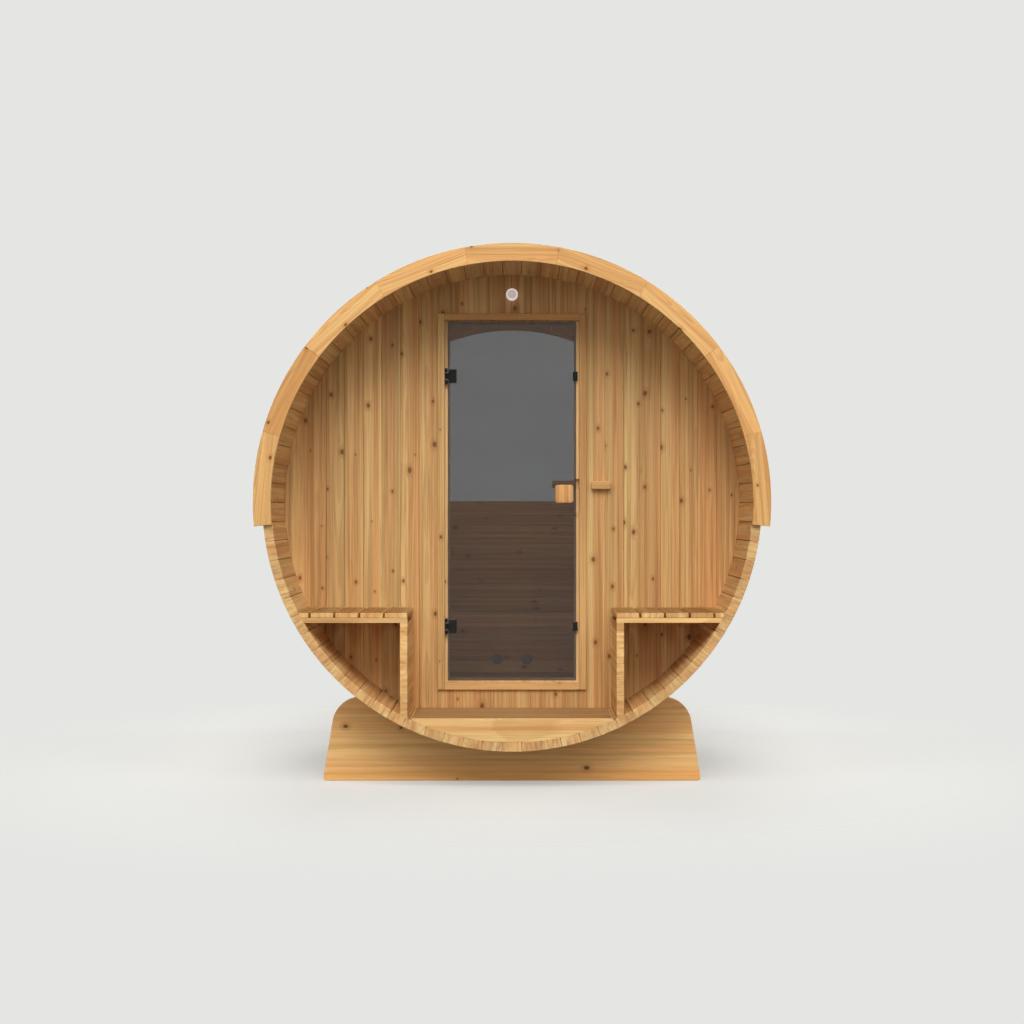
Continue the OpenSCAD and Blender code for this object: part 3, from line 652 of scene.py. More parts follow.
def moulded_finish(name, colour, rough, speck=900.0, metallic=0.0, streak=(1.0, 1.0, 1.0), glow=0.0):
    """Moulded, painted or brushed stuff with a fine texture of its own, drawn out along streak."""
    finish, tree = empty_finish(name)
    place = vector_calc(tree, "MULTIPLY", add(tree, "ShaderNodeTexCoord").outputs["Object"], streak)
    fine = noise(tree, place, scale=speck, detail=2.0)
    broad = noise(tree, place, scale=speck / 40, detail=2.0)
    dark = tuple(c * 0.88 for c in srgb(*colour)[:3]) + (1.0,)
    shade = blend(tree, ramp(tree, broad, 0.3, 0.7), srgb(*colour), dark)
    bump = add(tree, "ShaderNodeBump", {"Strength": 0.3, "Distance": 0.0002, "Height": fine})
    surface = surface_of(tree, {
        "Base Color": shade, "Roughness": ramp(tree, fine, 0.3, 0.7, rough * 0.85, rough * 1.15, "LINEAR"),
        "Metallic": metallic, "Normal": bump.outputs[0]})
    # A glow is painted light: the part gives off a faint light in its own colour.
    if glow:
        tree.links.new(shade, surface.inputs["Emission Color"])
        surface.inputs["Emission Strength"].default_value = glow
    return finish


def dowel(radius, length, ease):
    """The profile of a round bar with both ends eased."""
    return [(radius - ease, 0.0), (radius, ease), (radius, length - ease), (radius - ease, length)]


vent_finish = moulded_finish("black_plastic", (134, 134, 131), 0.22)
vent_profile = dowel(VENT_R, VENT_RIM, VENT_EASE)
for step in range(VENT_STEPS + 1):
    lift = math.radians(88 * step / VENT_STEPS)
    vent_profile.append(((VENT_R - VENT_LIP) * math.cos(lift), VENT_RIM + dome_rise * math.sin(lift)))
covers = bmesh.new()
for side in (-1, 1):
    middle = Vector((side * (vent_high.x - VENT_R), 0, (vent_low.z + vent_high.z) / 2))
    turned(covers, middle + Vector((0, rear_low.y, 0)), (0, -1, 0), vent_profile)
    turned(covers, middle + Vector((0, rear_high.y, 0)), (0, 1, 0), vent_profile)
put("vent_covers", made_of("vent_covers", covers), "black_plastic", "rear_vents", finish=vent_finish)

# Front wall
# Upright boards, 42 mm thick with a joint every 89 mm, fill the round behind the porch. The door frame stands
# in a gap of eight boards, and the boards over and under it are cut to it.
left_low, left_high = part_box("front_wall_left")
over_low, over_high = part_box("front_wall_over_door")
under_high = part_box("front_wall_under_door")[1]
GAP_BOARDS = 8
WALL_EDGE, WALL_GROOVE = 0.0007, 0.0016
frame_half = over_high.x
wall_pitch = 2 * frame_half / GAP_BOARDS
side_boards = math.ceil((lining_r - frame_half) / wall_pitch)
wall_t = left_high.y - left_low.y
wall_section = columns(wall_pitch - 2 * SEAM, wall_pitch - 2 * SEAM, 0.0, wall_t, WALL_EDGE, between=4,
                       deep=WALL_GROOVE)
wall_board = board_mesh("wall_board", wall_section, ends(2 * inner_r, BOARD_EDGE, -inner_r))
for name, first, count, seed, low, high in (
        ("front_wall_left", -frame_half - wall_pitch / 2, side_boards, 21, -50.0, 50.0),
        ("front_wall_right", frame_half + wall_pitch / 2, side_boards, 22, -50.0, 50.0),
        ("front_wall_over_door", -frame_half + wall_pitch / 2, GAP_BOARDS, 23, over_low.z, 50.0),
        ("front_wall_under_door", -frame_half + wall_pitch / 2, GAP_BOARDS, 24, -50.0, under_high.z)):
    way = -1.0 if name.endswith("left") else 1.0
    lay(name + "_boards", wall_board, wall_finish, "wall_wood", [name], Count=count,
        First=(first, left_high.y, axis_z), Step=(way * wall_pitch, 0.0, 0.0), Turn=UPRIGHT,
        Round=lining_r, Axis_height=axis_z, Upright=True, Low=(-50.0, -50.0, low), High=(50.0, 50.0, high),
        Seed=seed)

# Floors
# Boards 27 mm thick lie from side to side on the lower staves, five in the porch and twenty in the room.
# Their edges are rounded and they lie 2 mm apart.
FLOOR_GAP = 0.002
FLOOR_EDGE = 0.003
ACROSS = (0.0, 0.0, -math.pi / 2)
# Painted shade: the floor boards are coloured darker than the pale wood of the benches and walls, standing in for
# the shade on these flat boards.
shaded_floor_finish = wood_finish("floor_wood", (186, 150, 100), (170, 124, 78), (130, 88, 50), depth=0.35)
for name, count, seed in (("porch_floor", 5, 41), ("sauna_floor", 20, 42)):
    low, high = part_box(name)
    pitch = (high.y - low.y) / count
    wide = pitch - FLOOR_GAP
    floor_board = board_mesh("floor_board", columns(wide, wide, 0.0, high.z - low.z, FLOOR_EDGE),
                             ends(high.x - low.x, FLOOR_EDGE, low.x))
    lay(name + "_boards", floor_board, shaded_floor_finish, "floor_wood", [name], Count=count,
        First=(0.0, low.y + pitch / 2, low.z), Step=(0.0, pitch, 0.0), Turn=ACROSS,
        Round=lining_r, Axis_height=axis_z, Seed=seed)

# Apron
# A half-moon of 27 mm board closes the space under the porch floor. Its straight edge is level with the floor,
# and its curved edge is sawn to the staves.
apron_finish = wood_finish("apron_wood", (244, 204, 138), (236, 180, 114), (190, 128, 70), pitch=0.006, depth=0.28,
                           swirl=0.25, streaks=0.8, knots=0.35)
apron = give_grain(eased_copy("porch_apron", 0.002), (1, 0, 0), (0, 0, 1), seed=45, heart=(0, 0, 0.27))
put("porch_apron_board", apron, "trim_wood", "porch_apron", finish=apron_finish)

# Benches
# On each side five slats, 23 mm thick, run front to back on two bearers. A panel of lying boards, 34 mm thick,
# stands on the staves under the inner edge, and the outermost slat is ripped to the round.
bench_finish = wood_finish("bench_wood", (240, 200, 134), (228, 172, 110), (180, 120, 66), depth=0.35)
# Painted shade: faces that look up, the tops of the slats, panels and bearers, are coloured darker and greyer than
# the rest of this wood.
tree = bench_finish.node_tree
facing = add(tree, "ShaderNodeNewGeometry").outputs["True Normal"]
top_shade_share = add(tree, "ShaderNodeSeparateXYZ", {0: facing}).outputs[2]
multiply_colour(bench_finish, ramp(tree, top_shade_share, 0.6, 0.9), (0.46, 0.43, 0.37))
SLATS, SLAT_WIDTH, SLAT_GAP, SLAT_EDGE = 5, 0.1024, 0.010, 0.002
PANEL_BOARDS, PANEL_PITCH, PANEL_TOP = 4, 0.145, 0.037
PANEL_EDGE, PANEL_END = 0.0012, 0.0015
STACKED = tuple(Matrix(((0, 0, -1), (0, 1, 0), (1, 0, 0))).to_euler())
for side, hand in ((-1.0, "left"), (1.0, "right")):
    low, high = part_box("bench_slats_" + hand)
    inner_x = min(abs(low.x), abs(high.x))
    slat = board_mesh("bench_slat", columns(SLAT_WIDTH, SLAT_WIDTH, 0.0, high.z - low.z, SLAT_EDGE, between=6),
                      ends(high.y - low.y, SLAT_EDGE))
    lay(f"bench_slats_{hand}_boards", slat, bench_finish, "bench_wood", ["bench_slats_" + hand], Count=SLATS,
        First=(side * (inner_x + SLAT_WIDTH / 2), low.y, low.z), Step=(side * (SLAT_WIDTH + SLAT_GAP), 0.0, 0.0),
        Round=lining_r, Axis_height=axis_z, Seed=51 + int(side))
    low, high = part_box("bench_panel_" + hand)
    panel = board_mesh("panel_board", columns(PANEL_PITCH - 2 * SEAM, PANEL_PITCH - 2 * SEAM, 0.0, high.x - low.x,
                                              PANEL_EDGE, between=2), ends(high.y - low.y, PANEL_END))
    lay(f"bench_panel_{hand}_boards", panel, bench_finish, "bench_wood", ["bench_panel_" + hand],
        Count=PANEL_BOARDS, First=(high.x, low.y, high.z - PANEL_TOP + PANEL_PITCH / 2),
        Step=(0.0, 0.0, -PANEL_PITCH), Turn=STACKED,
        Round=lining_r, Axis_height=axis_z, Upright=True, High=(50.0, 50.0, high.z), Seed=55 + int(side))
bearers = give_grain(eased_copy("bench_bearers", 0.0015), (1, 0, 0), (0, 0, 1), seed=57, heart=(0, 0, 0.77))
put("bench_bearer_rails", bearers, "bench_wood", "bench_bearers", finish=bench_finish)

# Door frame
# Two posts with the rails between them, all 34 by 70 mm, screwed to the wall boards. They stand 14 mm out of
# the wall and have rounded edges. Stops of thin strip behind the glass keep draughts out.
frame_finish = wood_finish("frame_wood", (212, 174, 114), (198, 150, 94), (154, 104, 58), depth=0.3, swirl=0.2,
                           knots=0.35)
# Painted light: the stops are coloured paler than the posts, though they are the same wood, to lift them out of
# the shade behind the glass.
lit_stop_finish = wood_finish("stop_wood_lightened", (238, 200, 146), (226, 180, 122), (186, 138, 88), depth=0.3, knots=0.2)
posts = give_grain(eased_copy("door_jambs", 0.003), (0, 0, 1), (1, 0, 0), seed=61)
put("door_posts", posts, "frame_wood", "door_jambs", finish=frame_finish)
rails = give_grain(eased_copy("door_rails", 0.002), (1, 0, 0), (0, 0, 1), seed=62)
rail_finish = wood_finish("rail_wood", (230, 186, 124), (218, 164, 104), (168, 112, 62), depth=0.3, swirl=0.2,
                          knots=0.35)
put("door_frame_rails", rails, "frame_wood", "door_rails", finish=rail_finish)
stops = give_grain(eased_copy("door_stops", 0.001), (0, 0, 1), (1, 0, 0), seed=63)
put("door_stop_strips", stops, "frame_wood", "door_stops", finish=lit_stop_finish)

# Hinges
# Black steel leaves are screwed to the left post, with outer knuckles round a pin. Between them turns the
# middle knuckle of a pair of plates that clamp the glass, with a bright washer above and below it.
metal_finish = moulded_finish("black_metal", (17, 17, 17), 0.22)
washer_finish = moulded_finish("washer_steel", (214, 212, 210), 0.28, speck=300.0, metallic=0.6)


def rounded_outline(wide, high, corner, steps=6):
    """An upright rectangle with round corners, as points about its middle."""
    points = []
    for k, (sx, sz) in enumerate(((1, 1), (-1, 1), (-1, -1), (1, -1))):
        for i in range(steps + 1):
            t = math.pi / 2 * (k + i / steps)
            x = sx * (wide / 2 - corner) + corner * math.cos(t)
            points.append((x, sz * (high / 2 - corner) + corner * math.sin(t)))
    return points


def pad(shape, low, high, corner, profile, out=-1):
    """A block against a wall, rounded at its corners, whose outline draws in as the profile says.
    Profile pairs a share of the depth with an inset."""
    mid_x, mid_z = (low.x + high.x) / 2, (low.z + high.z) / 2
    back, front = (high.y, low.y) if out < 0 else (low.y, high.y)
    rings = []
    for share, inset in profile:
        wide, tall = high.x - low.x - 2 * inset, high.z - low.z - 2 * inset
        outline = rounded_outline(wide, tall, max(corner - inset, 0.001))
        rings.append([(mid_x + x, back + (front - back) * share, mid_z + z) for x, z in outline])
    loft(shape, rings)


PLATE = [(0.0, 0.0), (0.80, 0.0), (0.92, 0.0003), (1.0, 0.0010)]
PLATE_T, PLATE_HIGH, PLATE_CORNER = 0.005, 0.066, 0.005
ARM_HIGH, ARM_CORNER, ARM_LAP = 0.028, 0.0015, 0.004
KNUCKLE_R, KNUCKLE_HIGH, KNUCKLE_EASE = 0.0055, 0.033, 0.0006
PIN_TO_PANE, PIN_TO_PLATE = 0.004, 0.0115
SCREW = [(0.0046, 0.0), (0.0046, 0.0014), (0.0038, 0.0019), (0.0022, 0.0019), (0.0020, 0.0009), (0.0004, 0.0008)]
SCREW_RISE, SCREW_SUNK = 0.019, 0.0012
WASHER = [(0.0030, 0.0), (0.0064, 0.0), (0.0066, 0.0003), (0.0066, 0.0017), (0.0064, 0.0020), (0.0030, 0.0020)]
WASHER_T, WASHER_PLAY = 0.0020, 0.0003
hinge_low, hinge_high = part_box("door_hinges")
pane_low, pane_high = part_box("door_glass")
pin_x, pin_y = hinge_low.x + KNUCKLE_R, pane_low.y - PIN_TO_PANE
plate_x = pin_x + PIN_TO_PLATE
leaves = bmesh.new()
leaves.from_mesh(eased_copy("frame_hinges", 0.0005))
put("frame_hinge_leaves", made_of("hinge_leaves", leaves), "black_metal", "frame_hinges", finish=metal_finish)
plates, washers, heads = bmesh.new(), bmesh.new(), bmesh.new()
for z in (hinge_low.z + PLATE_HIGH / 2, hinge_high.z - PLATE_HIGH / 2):
    turned(plates, (pin_x, pin_y, z - KNUCKLE_HIGH / 2), (0, 0, 1), dowel(KNUCKLE_R, KNUCKLE_HIGH, KNUCKLE_EASE))
    arm_low = Vector((pin_x, pane_low.y - PLATE_T, z - ARM_HIGH / 2))
    arm_high = Vector((plate_x + ARM_LAP, pane_low.y, z + ARM_HIGH / 2))
    pad(plates, arm_low, arm_high, ARM_CORNER, PLATE)
    for back, front, out in ((pane_low.y - PLATE_T, pane_low.y, -1), (pane_high.y, pane_high.y + PLATE_T, 1)):
        plate_low = Vector((plate_x, back, z - PLATE_HIGH / 2))
        plate_high = Vector((hinge_high.x, front, z + PLATE_HIGH / 2))
        pad(plates, plate_low, plate_high, PLATE_CORNER, PLATE, out)
        face = back if out < 0 else front
        for rise in (-SCREW_RISE, SCREW_RISE):
            seat = (plate_x + hinge_high.x) / 2, face - SCREW_SUNK * out, z + rise
            turned(heads, seat, (0, out, 0), SCREW, steps=20)
    for side in (-1, 1):
        middle = z + side * (KNUCKLE_HIGH / 2 + WASHER_PLAY)
        turned(washers, (pin_x, pin_y, middle - WASHER_T / 2), (0, 0, 1), WASHER, steps=24)
plates = made_of("door_hinge_plates", plates, 20)
put("door_hinge_plates", plates, "black_metal", "door_hinges", body="door", finish=metal_finish)
heads = made_of("door_hinge_screws", heads, 30)
put("door_hinge_screws", heads, "black_metal", body="door", finish=metal_finish)
put("hinge_washers", made_of("hinge_washers", washers, 30), "black_metal", finish=washer_finish)
catches = eased_copy("door_catches", 0.0007)
put("door_catch_clips", catches, "black_metal", "door_catches", body="door", finish=metal_finish)

# Door leaf
# One pane of grey-tinted safety glass, 8 mm thick with polished edges, hangs without a frame.
# Daylight falls through it on the stops, the bar and the room behind.
refinish("door_glass", glass_finish("door_glass", (118, 117, 119), wave=0.004))
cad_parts["door_glass"].visible_shadow = False

# Knob, inner bar and wall block
# The knob is a square of spruce, 87 mm wide, screwed through the glass to a bar inside. The bar is the same
# spruce, coloured brown as painted shade.
# A block of the same spruce on the wall beside the door is for a towel or a key.
EASED = [(0.0, 0.0), (0.86, 0.0), (0.93, 0.0009), (0.98, 0.0026), (1.0, 0.0050)]
KNOB_CORNER, BAR_CORNER, BLOCK_CORNER = 0.012, 0.008, 0.010


def wooden_block(node, corner, along, across, seed, out=-1):
    """A block of wood as big as its node, with round corners and its front edges eased."""
    shape = bmesh.new()
    pad(shape, *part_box(node), corner, EASED, out)
    return give_grain(made_of(node, shape, 30), along, across, seed=seed, heart=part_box(node)[0])


knob = wooden_block("door_knob", KNOB_CORNER, (0, 0, 1), (1, 0, 0), seed=71)
put("door_knob_block", knob, "frame_wood", "door_knob", body="door", finish=rail_finish)
# Painted shade: the bar's wood is a darker copy of the knob's, for the shade it stands in behind the glass.
shaded_bar_finish = wood_finish("dark_wood", (172, 132, 90), (154, 114, 74), (112, 78, 48), knots=0.0)
bar = wooden_block("inside_handle", BAR_CORNER, (1, 0, 0), (0, 0, 1), seed=72, out=1)
put("inside_bar", bar, "dark_wood", "inside_handle", body="door", finish=shaded_bar_finish)
block = wooden_block("wall_block", BLOCK_CORNER, (1, 0, 0), (0, 0, 1), seed=73)
put("wall_block_piece", block, "frame_wood", "wall_block", finish=frame_finish)

# Porch lamp
# A round surface light, 57 mm across, of white plastic with an opal disc set about 2 mm back in its rim.
# The rim's and the disc's outlines give how far each point is in from the side and back from the front.
LAMP_EASE, LAMP_SEAT = 0.001, 0.004
RIM_OUTLINE = [(0.0, 0.004), (0.001, 0.0015), (0.003, 0.0), (0.005, 0.0005), (0.006, LAMP_SEAT)]
DISC_OUTLINE = [(0.0065, 0.0038), (0.0065, 0.003), (0.010, 0.0022)]
DISC_MIDDLE = 0.0016
lamp_low, lamp_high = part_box("porch_lamp")
lamp_r = (lamp_high.x - lamp_low.x) / 2
lamp_d = lamp_high.y - lamp_low.y
lamp_place = ((lamp_low.x + lamp_high.x) / 2, lamp_high.y, (lamp_low.z + lamp_high.z) / 2)


def lamp_part(name, back, outline, middle):
    """A turned part of the lamp, with a flat front this far back at its middle."""
    shape = bmesh.new()
    profile = back + [(lamp_r - side, lamp_d - sunk) for side, sunk in outline] + [(0.001, lamp_d - middle)]
    turned(shape, lamp_place, (0, -1, 0), profile)
    return made_of(name, shape)


body = lamp_part("lamp_body", [(lamp_r - LAMP_EASE, 0.0), (lamp_r, LAMP_EASE)], RIM_OUTLINE, LAMP_SEAT)
# Painted light: the white rim and the opal disc glow faintly in their own colours, so they stay bright in the
# shade at the top of the porch.
lamp_finish = moulded_finish("lamp_white", (240, 234, 230), 0.4, glow=0.55)
put("lamp_body", body, "lamp_white", "porch_lamp", finish=lamp_finish)
disc = lamp_part("lamp_disc", [], DISC_OUTLINE, DISC_MIDDLE)
put("lamp_disc", disc, "lamp_white", finish=moulded_finish("lamp_opal", (206, 198, 196), 0.35, glow=0.50))

# Hoops
# Three bands of stainless steel, 30 mm wide, pull the staves together. Each has a threaded rod through two
# lugs low on the right side, with a nut at each end.
HOOP_W, HOOP_T, HOOP_R = 0.030, 0.0015, barrel_r + 0.0002
HOOP_STEPS = 4 * STAVE_COUNT
LUG_ANGLE, LUG_SPREAD = math.radians(118), math.radians(3)
LUG = [(0.0065, 0.0), (0.0078, 0.001), (0.0078, 0.013), (0.0065, 0.014)]
NUT = [(0.0062, 0.0), (0.007, 0.0006), (0.007, 0.0064), (0.0062, 0.007)]
LUG_LONG, NUT_LONG = LUG[-1][1], NUT[-1][1]
ROD_R, ROD_LONG, ROD_EASE, ROD_LIFT = 0.004, 0.170, 0.001, 0.008
hoop_finish = moulded_finish("hoop_steel", (196, 196, 194), 0.30, speck=160.0, metallic=1.0,
                             streak=(0.3, 12.0, 0.3))
hoop_low, hoop_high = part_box("steel_hoops")
out = Vector((math.sin(LUG_ANGLE), 0, math.cos(LUG_ANGLE)))
way = Vector((math.cos(LUG_ANGLE), 0, -math.sin(LUG_ANGLE)))
hoop_section = ((HOOP_R, -HOOP_W / 2), (HOOP_R + HOOP_T, -HOOP_W / 2), (HOOP_R + HOOP_T, HOOP_W / 2),
                (HOOP_R, HOOP_W / 2))
band = bmesh.new()
for y in (hoop_low.y + HOOP_W / 2, (hoop_low.y + hoop_high.y) / 2, hoop_high.y - HOOP_W / 2):
    rings = []
    for k in range(HOOP_STEPS):
        t = 2 * math.pi * k / HOOP_STEPS
        rings.append([(r * math.sin(t), y + w, axis_z + r * math.cos(t)) for r, w in hoop_section])
    loft(band, rings, around=True)
    rod = Vector((0, y, axis_z)) + out * (HOOP_R + ROD_LIFT)
    turned(band, rod - way * ROD_LONG / 2, way, dowel(ROD_R, ROD_LONG, ROD_EASE), steps=16)
    for side in (-1, 1):
        lug = rod + way * side * math.tan(LUG_SPREAD) * HOOP_R
        nut = lug + way * side * (LUG_LONG + NUT_LONG) / 2
        turned(band, lug - way * LUG_LONG / 2, way, LUG, steps=8)
        turned(band, nut - way * NUT_LONG / 2, way, NUT, steps=6)
put("hoop_bands", made_of("hoop_bands", band, 30), "hoop_steel", "steel_hoops", finish=hoop_finish)

# Shingles
# Felt shingles with dark mineral granules cover the upper staves, from a little below the middle on one side
# to the other. Thirteen courses a side lap over each other, every other one moved by nearly a third of a tab
# so that no slot lies over a hoop, and a row of caps closes the ridge.
TAB_PITCH, TAB_SLOT, TAB_STAGGER = 0.333, 0.008, 0.3
TABS, COURSES = 8, 13
TAB_LAP, TAB_LIFT = 0.050, 0.0046
FELT_T, FELT_EDGE, FELT_INSET = 0.0032, 0.0008, 0.0009
EDGE_TURN = 0.0008
COVER_ANGLE = math.radians(94)
course_angle = COVER_ANGLE / COURSES
felt_r = barrel_r + 0.0006


def felt_finish():
    """Bitumen felt: coarse granules in greys and browns, tab by tab a little lighter or darker."""
    finish, tree = empty_finish("roof_felt")
    grain, board = board_grain(tree)
    stones = add(tree, "ShaderNodeTexVoronoi", {"Vector": grain, "Scale": 420.0}, feature="F1").outputs
    dice = add(tree, "ShaderNodeSeparateColor", {0: stones["Color"]}).outputs
    cloud = noise(tree, grain, scale=9.0, detail=4.0)
    tone = calc(tree, "ADD", calc(tree, "MULTIPLY", dice["Red"], 0.55), calc(tree, "MULTIPLY", cloud, 0.25))
    tone = calc(tree, "ADD", tone, calc(tree, "MULTIPLY_ADD", board, 0.40, -0.20))
    colour = blend(tree, add(tree, "ShaderNodeClamp", {0: tone}).outputs[0], srgb(44, 43, 42), srgb(104, 100, 95))
    height = calc(tree, "SUBTRACT", 1.0, calc(tree, "MULTIPLY", stones["Distance"], 1.4))
    relief = add(tree, "ShaderNodeBump", {"Strength": 0.6, "Distance": 0.0010, "Height": height})
    rough = ramp(tree, dice["Green"], 0.0, 1.0, 0.78, 0.95)
    surface_of(tree, {"Base Color": colour, "Roughness": rough, "Normal": relief.outputs[0]})
    return finish


def over_barrel(radius, lift=0.0, droop=0.0, middle=0.0):
    """Bends a flat sheet round the barrel: it rises by lift a radian and sinks by droop a metre past middle."""
    def bent(x, turn, z):
        r = radius + z + lift * turn - droop * (x - middle)
        return r * math.sin(turn), x, r * math.cos(turn)
    return bent


felt = felt_finish()
UNDERLAY, UNDERLAY_STEPS = 0.0001, 44
UNDERLAY_TURN = math.radians(93.6) / UNDERLAY_STEPS
strip = barrel_rear - barrel_front - 0.002
underlay = board_mesh("underlay", columns(strip, strip, UNDERLAY, 3 * UNDERLAY, UNDERLAY / 2, between=12),
                      [(k * UNDERLAY_TURN, 0.0) for k in range(-UNDERLAY_STEPS, UNDERLAY_STEPS + 1)],
                      over_barrel(barrel_r))
lay("felt_underlay", underlay, felt, "roof_felt", ["roof_shingles"], First=(0.0, 0.0, axis_z), Seed=80)
tab_reach = course_angle + TAB_LAP / felt_r
tab_stations = [(tab_reach * k / 6, 0.0) for k in range(6)]
tab_stations += [(tab_reach - EDGE_TURN, 0.0), (tab_reach, FELT_INSET)]
tab = board_mesh("tab", columns(TAB_PITCH - TAB_SLOT, TAB_PITCH - TAB_SLOT, 0.0, FELT_T, FELT_EDGE), tab_stations,
                 over_barrel(felt_r, lift=TAB_LIFT / tab_reach))
for side, hand in ((0, "right"), (1, "left")):
    lay("shingles_" + hand, tab, felt, "roof_felt", ["roof_shingles"], Count=COURSES * TABS, Row_length=TABS,
        First=(0.0, barrel_front + TAB_PITCH / 2, axis_z), Step=(0.0, TAB_PITCH, 0.0),
        Stagger=(0.0, -TAB_STAGGER * TAB_PITCH, 0.0), Turn=(0.0, COVER_ANGLE - tab_reach, math.pi * side),
        Row_turn=(0.0, -course_angle, 0.0), Low=(-50.0, barrel_front, -50.0), High=(50.0, barrel_rear, 50.0),
        Seed=81 + side)
CAPS, CAP_LONG, CAP_WIDE, CAP_T, CAP_STEP, CAP_DROOP = 16, 0.170, 0.250, 0.0030, 0.1472, 0.006
cap_r = felt_r + 0.0052
cap_half = CAP_WIDE / 2 / cap_r
cap_stations = [(-cap_half, FELT_INSET), (-cap_half + EDGE_TURN, 0.0)]
cap_stations += [(cap_half * k / 3, 0.0) for k in range(-2, 3)]
cap_stations += [(cap_half - EDGE_TURN, 0.0), (cap_half, FELT_INSET)]
cap = board_mesh("cap", columns(CAP_LONG, CAP_LONG, 0.0, CAP_T, FELT_EDGE), cap_stations,
                 over_barrel(cap_r, droop=CAP_DROOP, middle=CAP_LONG / 2))
lay("ridge_caps", cap, felt, "roof_felt", ["roof_shingles"], Count=CAPS,
    First=(0.0, barrel_front + CAP_STEP / 2, axis_z), Step=(0.0, CAP_STEP, 0.0),
    Low=(-50.0, barrel_front, -50.0), High=(50.0, barrel_rear, 50.0), Seed=85)

# Trim
# Nine curved boards, 81 mm wide and 22 mm thick, make an arch on each end of the barrel. They are sawn from
# straight plank and screwed over the stave ends, and they hide the edge of the shingles.
TRIM_BOARDS = 9
TRIM_EDGE, TRIM_JOINT = 0.0012, 0.0002
TRIM_REACH = math.radians(95.4)
trim_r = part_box("front_trim")[1].z - axis_z
trim_sweep = 2 * TRIM_REACH / TRIM_BOARDS
trim_finish = wood_finish("trim_wood", (236, 194, 128), (226, 168, 104), (184, 120, 62), depth=0.46, swirl=0.8,
                          streaks=0.9, knots=0.95)
for node, seed in (("front_trim", 91), ("rear_trim", 92)):
    low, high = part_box(node)
    trim_board = arch_board(node + "_board", inner_r, trim_r, trim_sweep, low.y, high.y, TRIM_EDGE, TRIM_JOINT)
    lay(node + "_arch", trim_board, trim_finish, "trim_wood", [node], Count=TRIM_BOARDS,
        First=(0.0, 0.0, axis_z), Turn=(0.0, trim_sweep / 2 - TRIM_REACH, 0.0), Step_turn=(0.0, trim_sweep, 0.0),
        Heart=(0.0, low.y, (inner_r + trim_r) / 2), Across=(0.0, 0.0, 1.0), Along=(1.0, 0.0, 0.0), Seed=seed)

# Studio
# A pale floor that fades out into an even, pale surround. Ten broad panels of soft light stand 20 m away, most
# of them in front, and a small soft light hangs in the room.
scene = bpy.context.scene
scene.view_settings.view_transform = "Standard"
BACKDROP = srgb(229, 230, 227)
WORLD_LIGHT = 0.06
FLOOR_R, FLOOR_STEPS = 14.0, 96
FLOOR_SEEN, FADE_START, FADE_END = 0.6, 1.3, 3.4
floor_shape = bmesh.new()
floor_rim = []
for k in range(FLOOR_STEPS):
    t = 2 * math.pi * k / FLOOR_STEPS
    floor_rim.append(floor_shape.verts.new((FLOOR_R * math.cos(t), FLOOR_R * math.sin(t), 0)))
floor_shape.faces.new(floor_rim)
floor_mesh = bpy.data.meshes.new("studio_floor")
floor_shape.to_mesh(floor_mesh)
floor_shape.free()
studio_floor = bpy.data.objects.new("studio_floor", floor_mesh)
scene.collection.objects.link(studio_floor)
paint, tree = empty_finish("studio_floor")
place = add(tree, "ShaderNodeTexCoord").outputs["Object"]
away = vector_calc(tree, "LENGTH", vector_calc(tree, "MULTIPLY", place, (1.0, 1.0, 0.0)))
from_camera = add(tree, "ShaderNodeLightPath").outputs["Is Camera Ray"]
fade = ramp(tree, away, FADE_START, FADE_END, FLOOR_SEEN, 0.0)
unseen = calc(tree, "MULTIPLY_ADD", from_camera, -0.25, 0.25)
cover = calc(tree, "ADD", calc(tree, "MULTIPLY", fade, from_camera), unseen)
surface_of(tree, {"Base Color": srgb(238, 238, 236), "Roughness": 0.7, "Alpha": cover})
floor_mesh.materials.append(paint)
studio_floor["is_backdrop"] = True

surround = bpy.data.worlds.new("surround")
surround.use_nodes = True
tree = surround.node_tree
tree.nodes.clear()
path = add(tree, "ShaderNodeLightPath").outputs
seen = calc(tree, "MAXIMUM", path["Is Camera Ray"], path["Is Transmission Ray"])
seen = calc(tree, "MAXIMUM", seen, path["Is Singular Ray"])
seen = calc(tree, "MAXIMUM", seen, calc(tree, "MULTIPLY", path["Is Glossy Ray"], 0.35))
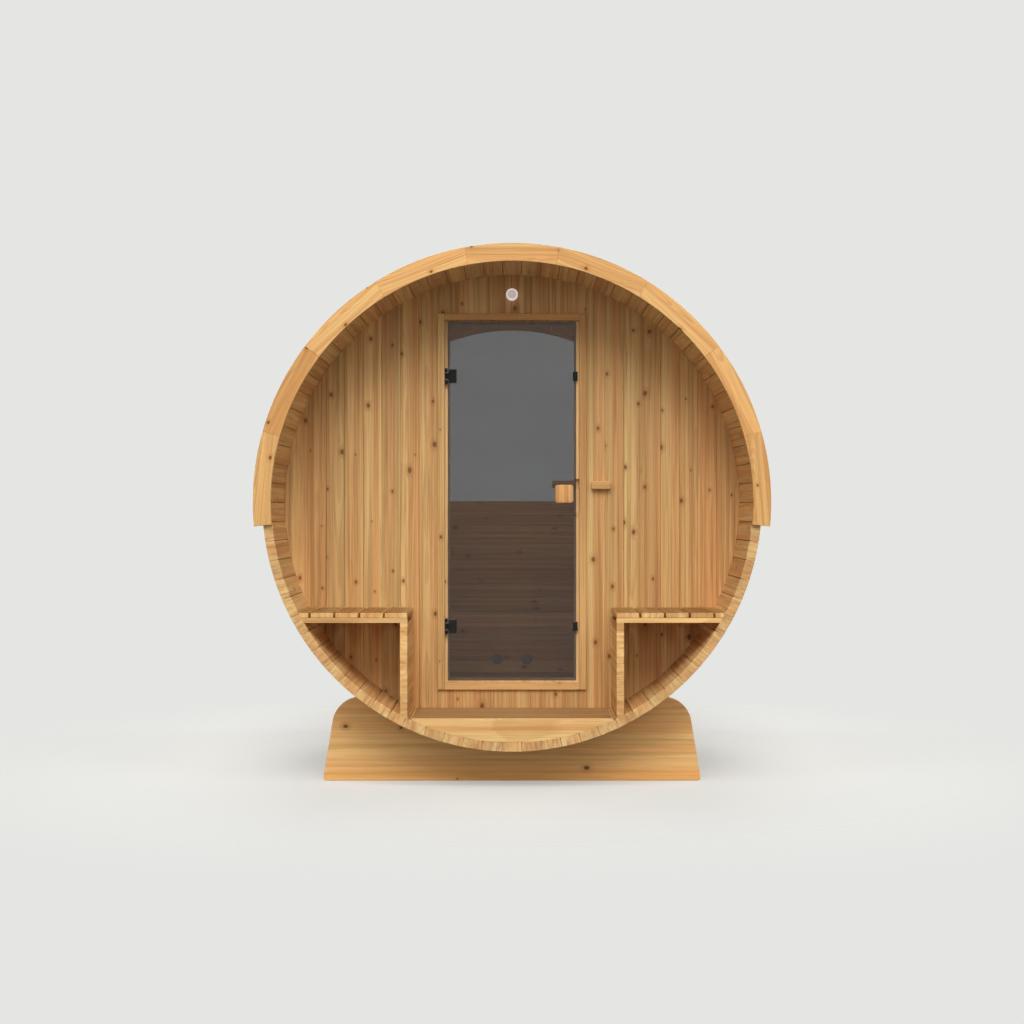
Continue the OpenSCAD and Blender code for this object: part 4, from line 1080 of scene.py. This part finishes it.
glow = add(tree, "ShaderNodeBackground", {"Color": BACKDROP, "Strength": calc(tree, "MAXIMUM", seen, WORLD_LIGHT)})
add(tree, "ShaderNodeOutputWorld", {"Surface": glow.outputs[0]})
scene.world = surround


def soft_light(name, place, aim, size, power, seen=False):
    """A square panel of soft light, seen in reflections only where seen is true."""
    lamp = bpy.data.lights.new(name, "AREA")
    lamp.shape, lamp.size, lamp.energy, lamp.color = "SQUARE", size, power, (1.0, 0.985, 0.96)
    holder = bpy.data.objects.new(name, lamp)
    holder.location = place
    holder.rotation_euler = (Vector(aim) - Vector(place)).to_track_quat("-Z", "Y").to_euler()
    holder.visible_camera = holder.visible_transmission = False
    holder.visible_glossy = seen
    scene.collection.objects.link(holder)


PANEL_DISTANCE, PANEL_SIZE = 20.0, 6.9
MIDDLE = Vector((0.0, -0.4, 1.2))
for name, azimuth, elevation, power, seen in (
        ("high_light", 0, 52, 1220, True), ("key_light", 0, 36, 1480, True), ("low_light", 0, 13, 430, False),
        ("left_light", -47, 36, 620, False), ("right_light", 47, 36, 620, False),
        ("left_fill", -47, 10, 260, False), ("right_fill", 47, 10, 260, False),
        ("left_far_light", -109, 24, 780, True), ("right_far_light", 109, 24, 780, True),
        ("rear_light", 180, 28, 1600, True)):
    turn, lift = math.radians(azimuth), math.radians(elevation)
    away = Vector((math.sin(turn) * math.cos(lift), -math.cos(turn) * math.cos(lift), math.sin(lift)))
    soft_light(name, MIDDLE + PANEL_DISTANCE * away, MIDDLE, PANEL_SIZE, power, seen)
soft_light("room_light", (0.0, -0.5, 1.6), (0.0, 1.0, 1.6), 0.6, 10.0)

CAMERA_DISTANCE, CAMERA_DROP, LENS = 7.7, 0.045, 59.63
camera = bpy.data.objects.new("camera", bpy.data.cameras.new("camera"))
camera.location = (0.0, barrel_front - CAMERA_DISTANCE, axis_z - CAMERA_DROP)
camera.rotation_euler = (math.pi / 2, 0.0, 0.0)
camera.data.sensor_width, camera.data.lens = 36.0, LENS
scene.collection.objects.link(camera)
scene.camera = camera

low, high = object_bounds()
